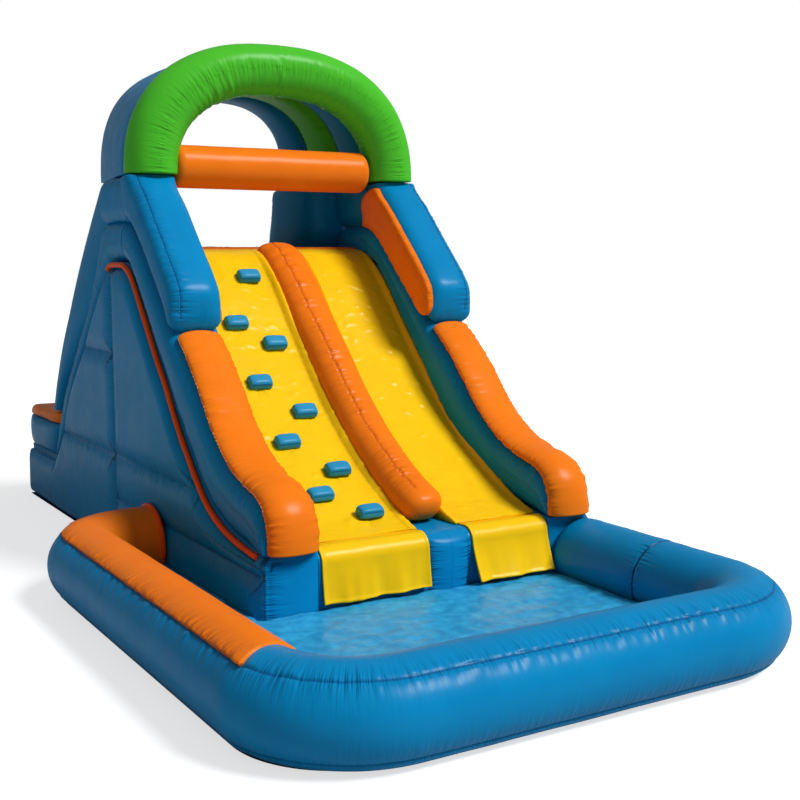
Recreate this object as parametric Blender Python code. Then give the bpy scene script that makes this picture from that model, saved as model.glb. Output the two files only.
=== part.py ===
"""Inflatable water slide, in metres, +Z up, with the splash pool towards -Y.

A climbing lane and a slide lane run side by side between two puffed side walls, from a deck
under a vaulted arch down to a pool ringed by a fat tube. Every air chamber is its own object.
Run it with: blender --background --python part.py
"""

import math
from typing import NamedTuple

import bpy
from mathutils import Vector

# Clearances and cloth
GAP = 0.0003  # between pieces that touch
GROUND_SHEET = 0.006
APRON_CLOTH = 0.008

# Tower, left to right: wall, climbing lane, divider, slide lane, wall
TOWER_WIDTH = 1.62
WALL_WIDTH = 0.225
CLIMB_WIDTH = 0.53
DIVIDER_WIDTH = 0.205

# Tower, front to back, from the front face of the base
TOWER_DEPTH = 3.54
CHEEK_DEPTH = 1.62  # back of the front limbs, at the top of the lanes
LANE_FRONT = 0.10  # where each lane ends and its apron starts
DECK_SETBACK = 0.12
DECK_FRONT = CHEEK_DEPTH + DECK_SETBACK
DECK_DEPTH = 0.80
LINTEL_DEPTH = 0.37
LEG_FRONT = CHEEK_DEPTH + LINTEL_DEPTH
LEG_DEPTH = 0.56
STEP_DEPTH = 0.56
STEP_FRONT = TOWER_DEPTH - STEP_DEPTH
BASE_TUBE_DEPTH = 0.34

# Tower, upwards
BASE_HEIGHT = 0.346
STEP_BASE = 0.325  # height of the blocks under the rear step
STEP_SEAM = 0.522  # where the step turns from blue to orange
STEP_TOP = 0.592
DECK_HEIGHT = 1.555
DECK_THICKNESS = 0.13
LINTEL_HEIGHT = 0.22
LIMB_HEIGHT = 0.21
SHOULDER_RISE = 0.365
SHOULDER_HEIGHT = DECK_HEIGHT + SHOULDER_RISE  # where the arch stands on the walls
PANEL_TOP = SHOULDER_HEIGHT - LINTEL_HEIGHT - LIMB_HEIGHT

# Puffed faces
WALL_BULGE = 0.045
WALL_EDGE = 0.004  # how far the edge of a side wall stays inside the tower's side
LIMB_BULGE = 0.020
HEAD_BULGE = 0.018
BOLSTER_CROWN = 0.058  # at its nose
BOLSTER_TOP_CROWN = 0.017
BOLSTER_EDGE = 0.014
BOLSTER_TUCK = 0.026  # how far its upper end stays inside the tower's side
HEAD_REACH = 0.675
HEAD_FRONT = CHEEK_DEPTH - HEAD_REACH  # how far forward a head cushion reaches
HEAD_HEIGHT = 0.75
HEAD_FOOT = SHOULDER_HEIGHT - HEAD_HEIGHT
HEAD_LEAN = 0.04  # how far back its top runs behind the cheek
HEAD_DOME = 0.050
HEAD_PANEL = 0.014  # thickness of the orange panel on its inner side
HEAD_PANEL_INSET_SHARE = 0.17  # of the head's depth, left bare at its front
STEP_OVERHANG = 0.030
LEG_INNER = 0.425  # from the tower's side to the inside of a leg
LEG_TOE = 0.14
DECK_LIP = 0.012
CHANNEL_WIDTH = 0.10
CHANNEL_DEPTH = 0.020
PIPING_RADIUS = 0.014

# Lanes
LANE_THICKNESS = 0.14
LANE_EDGE_RISE = 0.026
DIVIDER_CREST = 0.110
DIVIDER_TOP_CREST = 0.045
DIVIDER_ROOT = 0.100
DIVIDER_NOSE = 0.10
DIVIDER_SPREAD = 0.034  # how much wider it is at the top, towards the slide lane
BASE_ROUND = 0.060
CLIMB_APRON_INSETS = (0.027, 0.002)  # from the lane's left and right edges
SLIDE_APRON_INSETS = (0.018, 0.008)
APRON_HEM = 0.125  # height of an apron's lower edge
CLIMB_STAND_OFF = 0.012  # how far forward an apron's hem hangs
SLIDE_STAND_OFF = 0.050

# Arch over the deck
BAND_DEPTH = 0.26
ARCH_RISE = 0.680
FRONT_BAND_THICKNESS = 0.26
ROOF_THICKNESS = 0.065
ROOF_INSET = 0.018
ROOF_DROP = 0.005
LINING_CLEARANCE = 0.0004
LINING_THICKNESS = 0.100
LINING_DEPTH = 0.275
REAR_INSET = 0.165  # the back of the arch stands this much further in at each side
BAND_SETBACK = 0.04
FRONT_BAND_CENTRE = CHEEK_DEPTH - BAND_SETBACK
BAR_RADIUS = 0.108
BAR_RISE = 0.047
BAR_HEIGHT = SHOULDER_HEIGHT + BAR_RISE
BAR_CLEARANCE = 0.0103
BAR_SETBACK = 0.02
BAR_CENTRE = CHEEK_DEPTH - BAR_SETBACK

# Pool
TUBE_RADIUS = 0.168
TUBE_CENTRE_HEIGHT = 0.165
POOL_LEFT = -0.442  # centre line of the left tube
POOL_FRONT = -1.210
POOL_INSET = 0.048
POOL_RIGHT = TOWER_WIDTH - POOL_INSET
POOL_REAR = 1.190  # centre line of the tube that joins the tower
POOL_CORNER = 0.340
REAR_CORNER = 0.290
PANEL_END = -0.925  # front end of the orange top panel
PANEL_SLANT = 0.060
RIGHT_TUBE_START = -0.550
COLLAR_RADIUS = 0.012
FLOOR_TOP = 0.112
FLOOR_CLEARANCE = 0.008
RING_CLEARANCE = 0.003

# Climbing holds
HOLD_WIDTH = 0.115
HOLD_LENGTH = 0.075
HOLD_HEIGHT = 0.048
HOLD_LEFT = 0.218  # from the lane's left edge
HOLD_RIGHT = 0.382

# Back fittings
SLEEVE_RADIUS = 0.095
SLEEVE_WALL = 0.008
SLEEVE_LENGTH = 0.24
SLEEVE_INSET = 0.45
SLEEVE_PLACE = TOWER_WIDTH - SLEEVE_INSET
FITTING_HEIGHT = 0.165
VENT_RADIUS = 0.070
VENT_WALL = 0.012
VENT_LENGTH = 0.022
VENT_PLACE = 0.45
CAP_THICKNESS = 0.010
TAB_WIDTH = 0.030
TAB_HEIGHT = 0.050
TAB_THICKNESS = 0.012
TAB_SKIN = 0.004
TAB_PLACE = 0.110
TAB_LEVEL = 0.150
EYE_RADIUS = 0.0042
RING_ROD = 0.004
RING_WIDTH = 0.050
RING_DROP = 0.046

# Outlines, as (share of depth, share of rise) chosen by eye from the side view
LANE_SHARES = (
    (0.0, 0.0), (0.06, 0.023), (0.12, 0.052), (0.24, 0.130), (0.36, 0.230), (0.48, 0.356),
    (0.60, 0.508), (0.71, 0.663), (0.81, 0.811), (0.89, 0.916), (0.945, 0.972), (1.0, 1.0),
)
WALL_FRONT_SHARES = (
    (0.0, 0.0), (0.004, 0.060), (0.022, 0.120), (0.066, 0.161), (0.159, 0.190), (0.254, 0.238),
    (0.353, 0.325), (0.437, 0.430), (0.524, 0.530), (0.610, 0.612), (0.710, 0.732), (0.789, 0.820),
    (0.871, 0.912), (0.940, 0.974), (1.0, 1.0),
)
PANEL_EDGE_SHARES = (
    (0.0, 0.0), (0.104, 0.008), (0.229, 0.035), (0.328, 0.084), (0.396, 0.144), (0.500, 0.278),
    (0.573, 0.384), (0.646, 0.514), (0.722, 0.627), (0.800, 0.757), (0.881, 0.887), (0.938, 0.965),
    (1.0, 1.0),
)
REAR_INNER_SHARES = (
    (0.0, 1.0), (0.15, 0.996), (0.205, 0.955), (0.335, 0.825), (0.545, 0.590), (0.72, 0.388),
    (0.88, 0.138), (1.0, 0.0),
)
REAR_OUTER_SHARES = (
    (0.0, 1.0), (0.20, 1.0), (0.262, 0.985), (0.31, 0.905), (0.36, 0.81), (0.45, 0.685), (0.68, 0.455),
    (0.88, 0.243), (1.0, 0.0),
)
HEAD_FRONT_SHARES = (
    (0.776, 1.0), (0.58, 0.841), (0.301, 0.576), (0.077, 0.364), (0.0, 0.258), (0.0, 0.139), (0.035, 0.03),
    (0.077, 0.005),
)
LEG_REAR_SHARES = ((0.0, 1.0), (0.16, 0.80), (0.42, 0.52), (0.72, 0.25), (0.90, 0.09), (1.0, 0.0))
CHANNEL_LEVEL_SHARES = (0.14, 0.262, 0.535)  # of the shoulder height
LANE_CROSS_SHARES = (
    (-1.0, 1.0), (-0.93, 0.85), (-0.87, 0.15), (-0.83, 0.0), (0.83, 0.0), (0.87, 0.15), (0.93, 0.85),
    (1.0, 1.0),
)  # (half width, edge rise)
HOLD_SHARES = (0.094, 0.188, 0.274, 0.386, 0.474, 0.565, 0.668, 0.729, 0.856)  # of the lane's depth
HOLD_RINGS = ((-1, 0.86, 0.55), (-0.8, 0.98, 0.88), (0, 1, 1), (0.8, 0.98, 0.88), (1, 0.86, 0.55))
TAIL_SHARES = (0.05, 0.4, 0.7, 0.9, 0.97, 1.0)
END_SCALES = (0.88, 0.97)
FIRST_STATION_SHARE = 0.15
PANEL_SECTOR = (53.0, 205.0)  # degrees from the outer side over the top
COLLAR_ARC = (-12.0, 192.0)
EDGE_SAMPLES = 200
BOLSTER_STATIONS = 14
HEAD_STATIONS = 10
FRONT_STATIONS = BOLSTER_STATIONS + HEAD_STATIONS - 1
LANE_STATIONS = 14
REAR_STATIONS = 11
ARCH_STATIONS = 15
ARCH_POWER = 2.35
REAR_ARCH_POWER = 2.75  # the back of the vault has squarer shoulders


class Finish(NamedTuple):
    """A coated cloth or fitting colour."""

    name: str
    colour: str
    roughness: float
    metallic: float = 0.0


SKY_BLUE = Finish("sky blue vinyl", "#0a86c4", 0.32)
ORANGE = Finish("orange vinyl", "#f8791a", 0.34)
GREEN = Finish("green vinyl", "#4fc52e", 0.34)
YELLOW = Finish("yellow vinyl", "#fcc813", 0.30)
PIPING_RED = Finish("red orange piping", "#d9440f", 0.40)
HOLD_BLUE = Finish("deep blue vinyl", "#1f6f9f", 0.36)
GROUND_BLUE = Finish("dark blue ground cloth", "#0b3f66", 0.60)
WEBBING = Finish("black webbing", "#16181a", 0.80)
STEEL = Finish("zinc plated steel", "#b9bcc0", 0.35, 1.0)

LININGS = ((SKY_BLUE, 1.0), (GREEN, 1.05), (SKY_BLUE, 1.15))  # front to back, with their thickness shares


class Station(NamedTuple):
    """One cross-section of a chamber: its centre and its two half-size vectors."""

    centre: Vector
    across: Vector
    up: Vector


def linear(hex_colour: str) -> tuple[float, float, float, float]:
    """sRGB hex to linear RGBA."""
    parts = [int(hex_colour[i : i + 2], 16) / 255 for i in (1, 3, 5)]
    red, green, blue = (c / 12.92 if c <= 0.04045 else ((c + 0.055) / 1.055) ** 2.4 for c in parts)
    return red, green, blue, 1.0


def material(finish: Finish) -> bpy.types.Material:
    found = bpy.data.materials.get(finish.name)
    if found:
        return found
    made = bpy.data.materials.new(finish.name)
    made.use_nodes = True
    shader = made.node_tree.nodes["Principled BSDF"]
    shader.inputs["Base Color"].default_value = linear(finish.colour)
    shader.inputs["Roughness"].default_value = finish.roughness
    shader.inputs["Metallic"].default_value = finish.metallic
    return made


def add_object(name: str, points, faces, finish: Finish, origin=Vector()) -> bpy.types.Object:
    """A mesh object whose origin is at the given point, with its points given in the tower's frame."""
    mesh = bpy.data.meshes.new(name)
    mesh.from_pydata([tuple(Vector(p) - origin) for p in points], [], faces)
    mesh.validate()
    mesh.shade_smooth()
    mesh.set_sharp_from_angle(angle=math.radians(40))
    mesh.materials.append(material(finish))
    made = bpy.data.objects.new(name, mesh)
    made.location = origin
    bpy.context.scene.collection.objects.link(made)
    return made


def closed_skin(rings):
    """Points and outward faces of a tube of rings, each end closed by a fan to its middle."""
    count = len(rings[0])
    points = [Vector(p) for ring in rings for p in ring]
    faces = []
    for i in range(len(rings) - 1):
        low, high = i * count, (i + 1) * count
        for j in range(count):
            k = (j + 1) % count
            faces.append((low + j, low + k, high + k, high + j))
    for start, reverse in ((0, True), ((len(rings) - 1) * count, False)):
        middle = sum((points[start + j] for j in range(count)), Vector()) / count
        points.append(middle)
        tip = len(points) - 1
        for j in range(count):
            pair = (start + j, start + (j + 1) % count)
            faces.append((tip, pair[1], pair[0]) if reverse else (tip, pair[0], pair[1]))
    if signed_volume(points, faces) < 0:
        faces = [tuple(reversed(face)) for face in faces]
    return points, faces


def signed_volume(points, faces) -> float:
    total = 0.0
    for face in faces:
        for i in range(1, len(face) - 1):
            a, b, c = points[face[0]], points[face[i]], points[face[i + 1]]
            total += a.dot(b.cross(c))
    return total / 6


def chamber(name: str, rings, finish: Finish, origin=Vector()) -> bpy.types.Object:
    points, faces = closed_skin(rings)
    return add_object(name, points, faces, finish, origin)


def mirrored(rings):
    """The same rings on the other side of the tower."""
    return [[Vector((TOWER_WIDTH - p.x, p.y, p.z)) for p in ring] for ring in rings]


def pair(name: str, rings, finish: Finish) -> None:
    """A left chamber and its mirror image at the right."""
    chamber(f"{name}_left", rings, finish)
    chamber(f"{name}_right", mirrored(rings), finish)


def smooth(points, count: int):
    """A smooth curve through the points, cut into evenly spaced ones."""
    points = [Vector(p) for p in points]
    dense = []
    for i in range(len(points) - 1):
        before, start, end = points[max(i - 1, 0)], points[i], points[i + 1]
        after = points[min(i + 2, len(points) - 1)]
        for j in range(12):
            t = j / 12
            leave, arrive = (end - before) / 2, (after - start) / 2
            dense.append(
                start * (2 * t**3 - 3 * t**2 + 1) + leave * (t**3 - 2 * t**2 + t)
                + end * (3 * t**2 - 2 * t**3) + arrive * (t**3 - t**2)
            )
    dense.append(points[-1])
    return resample(dense, count)


def lengths_of(points):
    """Length along the points up to each of them."""
    total = [0.0]
    for a, b in zip(points, points[1:]):
        total.append(total[-1] + (b - a).length)
    return total


def along(points, lengths, distance: float):
    """The point at a distance along the points."""
    for i in range(len(points) - 1):
        if distance <= lengths[i + 1] or i == len(points) - 2:
            share = (distance - lengths[i]) / (lengths[i + 1] - lengths[i])
            return points[i].lerp(points[i + 1], max(0.0, min(1.0, share)))
    return points[-1]


def resample(points, count: int):
    lengths = lengths_of(points)
    return [along(points, lengths, lengths[-1] * i / (count - 1)) for i in range(count)]


def normals_of(curve):
    """For a side-view curve as (0, y, z), the unit normals on its left as it runs."""
    found = []
    for i in range(len(curve)):
        run = (curve[min(i + 1, len(curve) - 1)] - curve[max(i - 1, 0)]).normalized()
        found.append(Vector((0, -run.z, run.y)))
    return found


def shifted(curve, distance: float):
    """The curve moved along its normals, with each corner mitred so that its sides stay parallel."""
    moved = []
    for i, (point, normal) in enumerate(zip(curve, normals_of(curve))):
        if 0 < i < len(curve) - 1:
            run = (curve[i + 1] - point).normalized()
            side = Vector((0, -run.z, run.y))
            lean = max(side.dot(normal), 0.5)
        else:
            lean = 1.0
        moved.append(point + normal * distance / lean)
    return moved


def side_curve(shares, y_low: float, y_high: float, z_low: float, z_high: float, count: int):
    """A smooth side-view curve whose points are shares of a depth and a rise."""
    points = [
        Vector((0, y_low + (y_high - y_low) * y, z_low + (z_high - z_low) * z)) for y, z in shares
    ]
    return smooth(points, count)


def oval(count: int, power: float):
    """A unit cross-section: round at power 2, nearly square at a high power."""
    points = []
    for i in range(count):
        angle = 2 * math.pi * i / count
        c, s = math.cos(angle), math.sin(angle)
        size = (abs(c) ** power + abs(s) ** power) ** (-1 / power)
        points.append((c * size, s * size))
    return points


def crowned(steps: int, edge_share: float, power: float):
    """A unit cross-section with a flat back at 0 and a crown that rises to 1 between its edges."""
    points = [(1.0, 0.0)]
    for i in range(steps + 1):
        angle = math.pi * i / steps
        c, s = math.cos(angle), math.sin(angle)
        size = (abs(c) ** power + abs(s) ** power) ** (-1 / power)
        points.append((c * size, edge_share + (1 - edge_share) * s * size))
    points.append((-1.0, 0.0))
    return points


def ring_of(station: Station, section, scale=1.0):
    return [station.centre + (station.across * u + station.up * v) * scale for u, v in section]


def between(first: Station, second: Station, share: float) -> Station:
    return Station(*(a.lerp(b, share) for a, b in zip(first, second)))


DOME = ((0.0, 0.60), (0.12, 0.80), (0.42, 0.95))  # (share of the dome's depth, scale)


def domed(stations, section, start: float, end: float):
    """Rings through the stations, with each end drawn in over the given length. Zero keeps it flat."""
    centres = [s.centre for s in stations]
    lengths = lengths_of(centres)
    total = lengths[-1]

    def at(distance: float) -> Station:
        for i in range(len(stations) - 1):
            if distance <= lengths[i + 1] or i == len(stations) - 2:
                share = (distance - lengths[i]) / (lengths[i + 1] - lengths[i])
                return between(stations[i], stations[i + 1], max(0.0, min(1.0, share)))
        return stations[-1]

    rings = []
    if start:
        rings += [ring_of(at(share * start), section, scale) for share, scale in DOME]
    for station, length in zip(stations, lengths):
        inside = (not start or length >= start * 0.7) and (not end or length <= total - end * 0.7)
        if inside:
            rings.append(ring_of(station, section))
    if end:
        rings += [
            ring_of(at(total - share * end), section, scale) for share, scale in reversed(DOME)
        ]
    return rings


def strip_stations(top, bottom, x_low: float, x_high: float):
    """Stations between two side-view curves with as many points, from x_low to x_high."""
    middle, half = (x_low + x_high) / 2, (x_high - x_low) / 2
    return [
        Station(Vector((middle, 0, 0)) + (a + b) / 2, Vector((half, 0, 0)), (a - b) / 2)
        for a, b in zip(top, bottom)
    ]


def flattened(rings, floor: float):
    """The rings with everything below the floor pressed up to it."""
    return [[Vector((p.x, p.y, max(p.z, floor))) for p in ring] for ring in rings]


def clear_scene() -> None:
    for thing in list(bpy.data.objects):
        bpy.data.objects.remove(thing, do_unlink=True)


# Levels and edges that several pieces share
FLOOR = GROUND_SHEET + GAP
LANE_LEFT = WALL_WIDTH
DIVIDER_LEFT = LANE_LEFT + CLIMB_WIDTH
DIVIDER_RIGHT = DIVIDER_LEFT + DIVIDER_WIDTH
LANE_RIGHT = TOWER_WIDTH - WALL_WIDTH
LINTEL_BOTTOM = SHOULDER_HEIGHT - LINTEL_HEIGHT
TOWER_MIDDLE = TOWER_WIDTH / 2
VAULT_START = FRONT_BAND_CENTRE + BAND_DEPTH / 2 + GAP
VAULT_END = VAULT_START + LINING_DEPTH * len(LININGS) + GAP * (len(LININGS) - 1)


def front_edge():
    """Where the bolster and the head cushion lie on the front limb, from the base up, as two parts."""
    whole = side_curve(
        WALL_FRONT_SHARES, GAP, CHEEK_DEPTH - GAP, BASE_HEIGHT + GAP, LINTEL_BOTTOM - GAP, EDGE_SAMPLES
    )
    split = min(range(len(whole)), key=lambda i: abs(whole[i].z - HEAD_FOOT))
    return resample(whole[: split + 1], BOLSTER_STATIONS), resample(whole[split:], HEAD_STATIONS)


def panel_edge():
    """Where the front limb lies on the side wall, from the base up."""
    return side_curve(PANEL_EDGE_SHARES, GAP, CHEEK_DEPTH - GAP, BASE_HEIGHT + GAP, PANEL_TOP, FRONT_STATIONS)


def rear_inner_edge():
    """Where the rear limb lies on the side wall, from the top down."""
    return side_curve(
        REAR_INNER_SHARES, CHEEK_DEPTH, STEP_FRONT - WALL_BULGE, STEP_BASE + GAP, PANEL_TOP, REAR_STATIONS
    )


def rear_outer_edge():
    """Where the leg and the rear step lie on the rear limb, from the top down."""
    top = LINTEL_BOTTOM - GAP
    edge = side_curve(REAR_OUTER_SHARES, CHEEK_DEPTH, STEP_FRONT, STEP_BASE + GAP, top, REAR_STATIONS)
    return [Vector((0, p.y, min(p.z, top))) for p in edge]


def behind_limb(z_low: float, z_high: float):
    """The back of the rear limb between two levels, a few gaps clear of it, from the lower level up."""
    edge = [p + Vector((0, 4 * GAP, 0)) for p in rear_outer_edge()]

    def at(level: float) -> Vector:
        for a, b in zip(edge, edge[1:]):
            if b.z <= level < a.z:
                return b.lerp(a, (level - b.z) / (a.z - b.z))
        nearest = edge[0] if level >= edge[0].z else edge[-1]
        return Vector((0, nearest.y, level))

    inside = [p for p in reversed(edge) if z_low + GAP < p.z < z_high - GAP]
    return [at(z_low), *inside, at(z_high)]


def lane_edge():
    """The lane's surface, from its front end up to the deck."""
    return side_curve(
        LANE_SHARES, LANE_FRONT + GAP, DECK_FRONT - GAP, BASE_HEIGHT + APRON_CLOTH + 2 * GAP, DECK_HEIGHT,
        LANE_STATIONS,
    )


def wall_bulge_at(y: float, z: float, rim: float, lean: float) -> float:
    """How far a side wall's outer face stands out: full inside a cell, less on a seam, none at its rim."""
    border = min(z - FLOOR, (rim - z) * lean, y + CHANNEL_WIDTH, TOWER_DEPTH - y)
    lowest, middle, highest = (share * SHOULDER_HEIGHT for share in CHANNEL_LEVEL_SHARES)
    upright = DECK_FRONT + CHANNEL_WIDTH / 3
    seams = [abs(z - middle), abs(y - upright)]
    seams.append(abs(z - highest) if y > upright else abs(z - lowest))
    rise = min(max(border, 0.0) / CHANNEL_WIDTH, 1.0)
    seam = min(min(seams) / CHANNEL_WIDTH, 1.0)
    return (WALL_BULGE + WALL_EDGE) * math.sqrt(rise * (2 - rise)) - CHANNEL_DEPTH * (1 - seam) ** 2 * rise


def side_wall_rings():
    """Cross-sections of the left side wall from front to back, each from the ground sheet to its top."""
    edge = panel_edge() + rear_inner_edge()[1:]
    tops = [(p.y, p.z - 2 * GAP, n.z) for p, n in zip(edge, normals_of(edge))]
    last = edge[-1].y
    tail = TOWER_DEPTH - last
    tops += [(last + tail * share, STEP_BASE, 1.0) for share in TAIL_SHARES]
    lowest, middle, highest = (share * SHOULDER_HEIGHT for share in CHANNEL_LEVEL_SHARES)
    near = CHANNEL_WIDTH / 3
    levels = [
        FLOOR + near / 2, FLOOR + 3 * near, lowest - near, lowest, lowest + near, (lowest + middle) / 2,
        middle - near, middle, middle + near, (middle + highest) / 2, highest - near, highest, highest + near,
        (highest + PANEL_TOP) / 2,
    ]
    rings = []
    inner = WALL_WIDTH - GAP
    count = len(tops)
    ends = {0: END_SCALES[0], 1: END_SCALES[1], count - 2: END_SCALES[1], count - 1: END_SCALES[0]}
    for index, (y, top, lean) in enumerate(tops):
        rim = top - (2 * PIPING_RADIUS + 4 * GAP) / lean
        ring = [Vector((inner, y, FLOOR)), Vector((inner, y, top)), Vector((WALL_EDGE, y, top))]
        ring.append(Vector((WALL_EDGE, y, rim)))
        for k in reversed(range(len(levels))):
            z = min(levels[k], rim - (len(levels) - k) * PIPING_RADIUS / 6)
            ring.append(Vector((WALL_EDGE - wall_bulge_at(y, z, rim, lean), y, z)))
        ring.append(Vector((WALL_EDGE, y, FLOOR)))
        centre = Vector((inner / 2, y, (FLOOR + top) / 2))
        rings.append([centre + (p - centre) * ends.get(index, 1.0) for p in ring])
    return flattened(rings, FLOOR)


def make_side_walls() -> None:
    pair("side_wall", side_wall_rings(), SKY_BLUE)


def make_side_piping() -> None:
    """The piping that closes the side wall against its front limb, up to the top of the wall."""
    edge = panel_edge()[2:] + rear_inner_edge()[1:3]
    stations = []
    for point, normal in zip(edge, normals_of(edge)):
        centre = Vector((WALL_EDGE - PIPING_RADIUS - 2 * GAP, point.y, point.z)) - normal * PIPING_RADIUS
        stations.append(Station(centre, Vector((PIPING_RADIUS, 0, 0)), normal * PIPING_RADIUS))
    pair("side_piping", domed(stations, oval(8, 2), PIPING_RADIUS, PIPING_RADIUS), PIPING_RED)


def make_limbs() -> None:
    """The puffed limbs: one up each lane's outer side and one down each side's back."""
    section = oval(12, 3.4)
    lower, upper = front_edge()
    top = lower + upper[1:]
    front = strip_stations(top, panel_edge(), -LIMB_BULGE, WALL_WIDTH - GAP)
    front[0] = between(front[0], front[1], FIRST_STATION_SHARE)
    pair("front_limb", domed(front, section, 0, LIMB_BULGE), SKY_BLUE)
    rear = strip_stations(rear_outer_edge(), rear_inner_edge(), -LIMB_BULGE / 2, WALL_WIDTH - GAP)
    rear = [Station(s.centre + Vector((0, GAP, 0)), s.across, s.up) for s in rear]
    pair("rear_limb", domed(rear, section, LIMB_BULGE, LIMB_BULGE), SKY_BLUE)


def make_bolsters() -> None:
    """The crowned cushion on the lower front of each wall."""
    edge, _ = front_edge()
    seat = shifted(edge, 2 * GAP)
    stations = []
    for index, (point, normal) in enumerate(zip(seat, normals_of(edge))):
        share = index / (len(seat) - 1)
        low, high = BOLSTER_TUCK * share, WALL_WIDTH - GAP
        crown = BOLSTER_CROWN + (BOLSTER_TOP_CROWN - BOLSTER_CROWN) * min(1.0, 2 * share)
        half = Vector(((high - low) / 2, 0, 0))
        stations.append(Station(point + Vector(((low + high) / 2, 0, 0)), half, normal * crown))
    section = crowned(10, BOLSTER_EDGE / BOLSTER_CROWN, 2.2)
    rings = [ring_of(station, section) for station in stations]
    for index, scale in ((0, END_SCALES[0]), (-1, END_SCALES[0])):
        middle = sum(rings[index], Vector()) / len(rings[index])
        rings[index] = [middle + (p - middle) * scale for p in rings[index]]
    pair("bolster", flattened(rings, BASE_HEIGHT + GAP), ORANGE)


def head_edges():
    """Front and back side-view edges of a head cushion, from its lower end up."""
    _, edge = front_edge()
    seat = shifted(edge, 2 * GAP)
    run = (edge[1] - edge[0]).normalized()
    crown = SHOULDER_HEIGHT - 2 * GAP
    back = [seat[0] + run * GAP, *seat[1:-1]]
    corner_z = LINTEL_BOTTOM + 2 * GAP
    back += [Vector((0, CHEEK_DEPTH - GAP, corner_z)), Vector((0, CHEEK_DEPTH + HEAD_LEAN, crown))]
    low, high = HEAD_FRONT, CHEEK_DEPTH + HEAD_LEAN
    foot = back[0].z
    front = [
        Vector((0, low + (high - low) * y, foot + (crown - foot) * z)) for y, z in reversed(HEAD_FRONT_SHARES)
    ]
    return smooth(front, len(back)), back


def make_heads() -> None:
    """The padded head above each bolster: blue at its front and outside, orange towards the lanes."""
    front, back = head_edges()
    seam = WALL_WIDTH + HEAD_BULGE / 2
    stations = strip_stations(front, back, -HEAD_BULGE, seam)
    section = [(max(-1.0, min(1.0, x)), z) for x, z in oval(14, 3.6)]
    pair("head_cushion", domed(stations, section, HEAD_DOME, HEAD_DOME / 2), SKY_BLUE)
    edge = [a.lerp(b, HEAD_PANEL_INSET_SHARE) for a, b in zip(front, back)]
    panel = [
        Station(Vector((seam + GAP, 0, 0)) + (a + b) / 2, (a - b) / 2, Vector((HEAD_PANEL, 0, 0)))
        for a, b in zip(edge[1:], back[1:])
    ]
    section = crowned(6, 0.3, 2.6)
    rings = [ring_of(station, section) for station in panel]
    rings[0] = ring_of(between(panel[0], panel[1], FIRST_STATION_SHARE), section, END_SCALES[0])
    rings[-1] = ring_of(between(panel[-1], panel[-2], FIRST_STATION_SHARE), section, END_SCALES[0])
    pair("head_panel", rings, ORANGE)


def make_lintels() -> None:
    """The short chamber above each limb that carries the arch behind the head cushion."""
    crown = SHOULDER_HEIGHT - 2 * GAP
    top_front = Vector((0, CHEEK_DEPTH + HEAD_LEAN + 2 * GAP, crown))
    low_front = Vector((0, CHEEK_DEPTH + GAP, LINTEL_BOTTOM + GAP))
    rear = LEG_FRONT - GAP
    stations = []
    for i in range(6):
        share = i / 5
        top = top_front.lerp(Vector((0, rear, crown)), share)
        bottom = low_front.lerp(Vector((0, rear, low_front.z)), share)
        stations += strip_stations([top], [bottom], -LIMB_BULGE / 2, WALL_WIDTH - GAP)
    pair("lintel", domed(stations, oval(12, 3.4), HEAD_DOME / 2, HEAD_DOME / 2), SKY_BLUE)


def make_legs() -> None:
    """The fat leg behind each rear limb, drawn inwards at its top to carry the back of the arch."""
    foot = STEP_TOP + GAP
    crown = SHOULDER_HEIGHT - 2 * GAP
    low_front = behind_limb(foot, LINTEL_BOTTOM)
    low_front.reverse()
    front = [Vector((0, LEG_FRONT, level)) for level in (crown, (crown + LINTEL_BOTTOM) / 2, LINTEL_BOTTOM)]
    front += [p for p in low_front if p.y > LEG_FRONT + GAP]
    rear = side_curve(
        LEG_REAR_SHARES, LEG_FRONT + LEG_DEPTH, front[-1].y + LEG_TOE, foot, crown, len(front)
    )
    stations = []
    for a, b in zip(rear, front):
        level = (a.z + b.z) / 2
        lift = max(0.0, min(1.0, (level - PANEL_TOP / 2) / (SHOULDER_HEIGHT - PANEL_TOP / 2)))
        low = REAR_INSET * lift * lift - LIMB_BULGE
        centre = Vector(((low + LEG_INNER) / 2, 0, 0)) + (a + b) / 2
        stations.append(Station(centre, Vector(((LEG_INNER - low) / 2, 0, 0)), (a - b) / 2))
    pair("rear_leg", flattened(domed(stations, oval(12, 3.2), HEAD_DOME, HEAD_DOME / 2), foot), SKY_BLUE)


def make_lane(name: str, x_low: float, x_high: float, spread: float) -> None:
    """One lane: a padded bed whose side edges rise a little, thinning to nothing over the base. Its
    left edge moves over by the spread on the way up."""
    top = lane_edge()
    normals = normals_of(top)
    normals[-1] = Vector((0, 0, 1))
    rings = []
    for index, (point, normal) in enumerate(zip(top, normals)):
        left = x_low + spread * index / (len(top) - 1)
        middle, half = (left + x_high) / 2, (x_high - left) / 2 - GAP
        depth = min(LANE_THICKNESS, (point.z - BASE_HEIGHT - GAP) / normal.z)
        rise = LANE_EDGE_RISE * min(1.0, index / 4) * min(1.0, (len(top) - 1 - index) / 2)
        ring = [point + Vector((middle + half * x, 0, 0)) + normal * rise * z for x, z in LANE_CROSS_SHARES]
        ring.append(point + Vector((middle + half, 0, 0)) - normal * depth)
        ring.append(point + Vector((middle - half, 0, 0)) - normal * depth)
        rings.append(ring)
    chamber(name, rings, YELLOW)


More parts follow.
